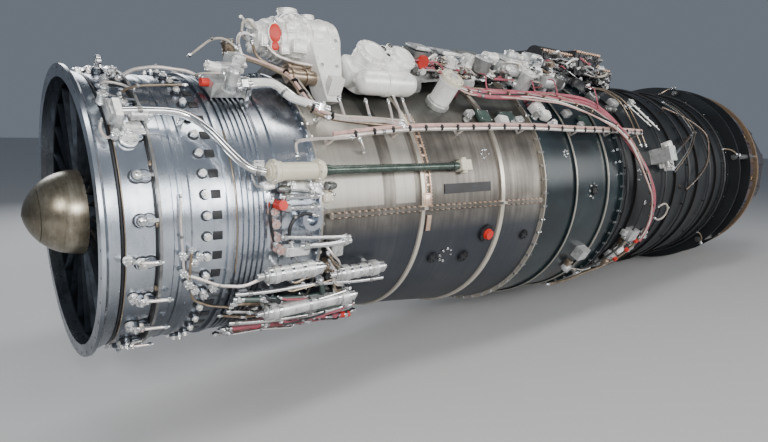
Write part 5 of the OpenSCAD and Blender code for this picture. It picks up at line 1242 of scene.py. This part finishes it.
# Hose bundle beside the two hoses, with its bands
bundleStops = [(1330, 60, 84), (1360, 55, 66), (1420, 51, 56), (1520, 49, 58), (1738, 47, 60), (1950, 44, 64),
        (2130, 38, 78), (2270, 30.5, 86), (2400, 19, 92), (2488, 10, 86), (2600, 0.5, 74), (2680, -12, 64),
        (2716, -24, 52)]
bundleHoses = [("pinkHose", 5, 6, 0.8), ("paleHose", 4, 8, -3.2), ("blackPaint", 4, 7, -1.4),
        ("looseWire", 3, 9, -0.2), ("bronzeMetal", 3.5, 4, 1.6), ("whiteCast", 3, 8, -2.4)]
for k, (finish, radius, lift, swing) in enumerate(bundleHoses):
    route = [(x + 6 * math.sin(i * 2.1 + k), a + swing + 0.9 * math.sin(i * 2.4 + k * 1.9),
            h + lift * (0.7 + 0.3 * math.sin(i * 1.9 + k))) for i, (x, a, h) in enumerate(bundleStops)]
    keep(finish + "Bundle", finish, pipe(caseLine(route), radius, 40))
bundleLine = caseLine([(x, a - 1.3, h) for x, a, h in bundleStops])
for i in range(1, 22):
    spot = round(i / 22 * (len(bundleLine) - 2))
    ringAt("bundleBands", "bronzeMetal", [(-4, 10), (-3.4, 13.5), (3.4, 13.5), (4, 10)], 16,
            bundleLine[spot] + Vector((0, 0, 3)), bundleLine[spot + 1] - bundleLine[spot])
for k in (0, 3, 4, 7):        # single wires that leave the bundle upward
    x, a, h = bundleStops[3 + k // 2]
    x += (k % 2) * 70
    route = [(x, a, h + 8), (x + 26, a + 5, h + 18), (x + 60, a + 9 + k % 3, h + 26), (x + 70, a + 14, h + 4)]
    keep("bundleWires", "pinkHose", pipe(caseLine(route), 3.2, 16, 2))

# Bolted strap round the duct at its front stiffening ring
strapAt = {"station": 1108, "rowGap": 11, "from": -9, "to": 44}
for side in (-1, 1):
    strip = pipe([onCase(strapAt["station"] + side * strapAt["rowGap"], a, 1.5)
            for a in range(strapAt["from"] + 9, strapAt["to"] + 1, 4)], 3.2, 20, 1)
    keep("ductStrap", "salmonMetal", strip)
for i in range(30):
    a = strapAt["from"] + 10 + i * (strapAt["to"] - strapAt["from"] - 10) / 29
    for side in (-1, 1):
        keep("strapBolts", "salmonMetal",
                twin(smallBolt, seat(strapAt["station"] + side * strapAt["rowGap"], a, 3)))
    if i % 3 == 0:
        keep("ductStrap", "salmonMetal", moved(block((14, 10, 4), 1), seat(strapAt["station"], a, 0)))
keep("ductStrap", "salmonMetal", moved(block((40, 54, 7), 2, 3, 5), seat(1100, 3.2, 1)))
keep("ductStrap", "salmonMetal", moved(block((22, 60, 6), 2, 2, 4), seat(1112, -7.0, 1)))

# Bolt groups on the rear duct and jet pipe
for x, a, r, n in ((2126, 2, 34, 7), (1240, -24, 30, 7), (1420, 22, 20, 5), (1930, 20, 16, 6), (2600, 8, 26, 8),
        (3000, 12, 26, 8)):
    for i in range(n):
        spot = seat(x, a, 0) @ spin(i * 360 / (n + 1)) @ shift(r, 0, 0)
        keep("groupBolts", "steel", twin(hexBolt, spot))

# Rear valve casting, its ladder of bright bars and the tubes round the jet pipe
boxUnit("whiteCast", 2800, 17, 64, (60, 60, 34), 0, 5)
boxUnit("whiteCast", 2812, 21, 60, (50, 50, 40), 10, 5)
for x, a, h in ((2830, 14, 80), (2850, 12, 74), (2870, 10.4, 70), (2790, 11.8, 80)):
    canUnit("whiteCast", x, a, h - 44, 13, 46)
for k, (wide, lift) in enumerate(((16, 58), (24, 66), (12, 60))):        # three flat bars side by side
    first, last = onCase(2640 + k * 46, 47.5 - k, lift), onCase(2745 + k * 40, 32 - k, lift + 6)
    bar = block((wide, 5, (last - first).length), 1.5)
    keep("flatBars", "whiteCast", moved(bar, aimed(first, last - first)))
    for share in (0.15, 0.5, 0.85):
        keep("flatBars", "whiteCast", twin(hexBolt, aimed(first.lerp(last, share), (0, -1, 0.5)) @ shift(0, 0, 2)))
for x, a, turn in ((2806, 14.5, 0), (2828, 13.2, 20), (2846, 16, -15), (2784, 20, 40), (2770, 12.8, 10)):
    keep("valveLugs", "castSilver", moved(block((16, 40, 18), 3), seat(x, a, 72, turn)))
rearTubes = [
    ("bronzeMetal", 5, [(2480, 60, 40), (2543, 57, 60), (2589, 48.4, 60), (2560, 38, 60), (2547, 29.8, 58),
            (2565, 22, 54)]),
    ("bronzeMetal", 5, [(2520, 61, 40), (2590, 57, 62), (2640, 49, 62), (2612, 38, 62), (2600, 30, 60),
            (2620, 22, 54)]),
    ("blackPaint", 6, [(2640, -6, 30), (2620, -20, 34), (2560, -34, 36), (2470, -42, 38), (2300, -46, 34)]),
    ("dullSteel", 4, [(3331, 56, 30), (3276, 43, 60), (3304, 29.5, 60), (3140, 19.5, 60), (2919, 9.2, 50)]),
    ("bronzeMetal", 3, [(3350, 56, 30), (3296, 43, 66), (3330, 29.5, 66), (3160, 19.5, 66), (2939, 8.4, 50)]),
    ("bronzeMetal", 7, [(2730, -26, 46), (2700, -38, 44), (2620, -48, 40), (2480, -54, 36), (2200, -58, 30)]),
    ("pipePaint", 4, [(2110, -36, 24), (2160, -40, 30), (2330, -44, 34), (2480, -48, 34)]),
]
for finish, radius, route in rearTubes:
    jumper(finish, route, radius, 40)
jumper("looseWire",
        [(2760, -9, 56), (2830, -7, 60), (2890, -10, 60), (2894, -15, 56), (2830, -17, 54), (2770, -15, 52)], 5, 30)
rearBoxes = [(2552, -23), (2600, -30), (2640, -36), (2700, -30), (2560, -38), (2600, -45), (2690, -44),
        (2510, -44), (2140, -40), (2120, -36), (2380, -50), (2760, -36), (2820, -26)]
for k, (x, a) in enumerate(rearBoxes):
    boxUnit(("castSilver", "bronzeMetal", "whiteCast", "dullSteel")[k % 4], x, a, 6,
            (34 + 5 * (k % 3), 30, 26 + 4 * (k % 3)), 20 * k, 3)
    canUnit("castSilver", x + 34, a - 3, 4, 11, 26)
for x, a in ((2716, -25), (2690, -31), (2660, -38)):
    keep("redSleevesRear", "redCover", moved(turned([(0, 12), (18, 12), (20, 10)], 16), seat(x, a - 4, 34)))

# Jet pipe and nozzle: manifold rings, hose to each jack, rib plates
for station, height, radius in ((2450, 16, 6), (2900, 18, 5), (3230, 16, 7), (3560, 16, 5), (3820, 18, 7)):
    ringLine = [onCase(station, a, height) for a in range(0, 360, 10)]
    keep("manifolds", "blackPaint", pipe(ringLine + ringLine[:1], radius, 30, 2))
    for a in range(12, 372, 24):
        keep("manifolds", "blackPaint", moved(block((14, 8, height), 1), seat(station, a, 0)))
for k in range(6):
    a = k * 60 + 15
    jumper("bronzeMetal", [(3820, a + 6, 18), (3850, a + 6, 30), (3880, a + 4, 60), (3890, a + 1, 78)], 5,
            name="JackHoses")
    keep("steelJackHoses", "steel", twin(pipeNut, seat(3895, a + 0.5, 84) @ spin(90, "Y") @ Matrix.Scale(0.8, 4)))
for k in range(24):
    keep("seamBolts", "steel", twin(smallBolt, seat(3893, k * 15 + 4, 12)))
print("stage 11: rear dress")

# Far side and underside
for k in range(18):
    clock = 118 + k * 7.6
    x0 = 380 + 90 * (k % 4)
    x1 = (930, 1400, 1680, 2300)[k % 4]
    jumper(("pipePaint", "bronzeMetal", "steel", "greenPaint")[k % 4],
            [(x0, clock, 24), (x0 + 40, clock + 1, 34), ((x0 + x1) / 2, clock + 4, 34), (x1 - 40, clock + 2, 34),
            (x1, clock + 2, 24)], (7, 5, 6, 9)[k % 4], name="Far")
for k in range(30):
    x = 420 + (k * 173) % 2300
    a = 110 + (k * 47) % 160
    if k % 3 == 0:
        canUnit("castSilver", x, a, 2, 22, 50)
    else:
        boxUnit(("castSilver", "dullSteel", "blackPaint")[k % 3], x, a, 2, (60 + 10 * (k % 4), 44, 34), 15 * k, 4)
print("stage 12: far side")
for name in sorted(piles):
    closePiece(name)
for template in patterns + [ovalPlate, tongue, spindleNut, bossShadeDiscs]:
    bpy.data.objects.remove(template)
print("stage 13: pieces closed")

print("stage last: done")
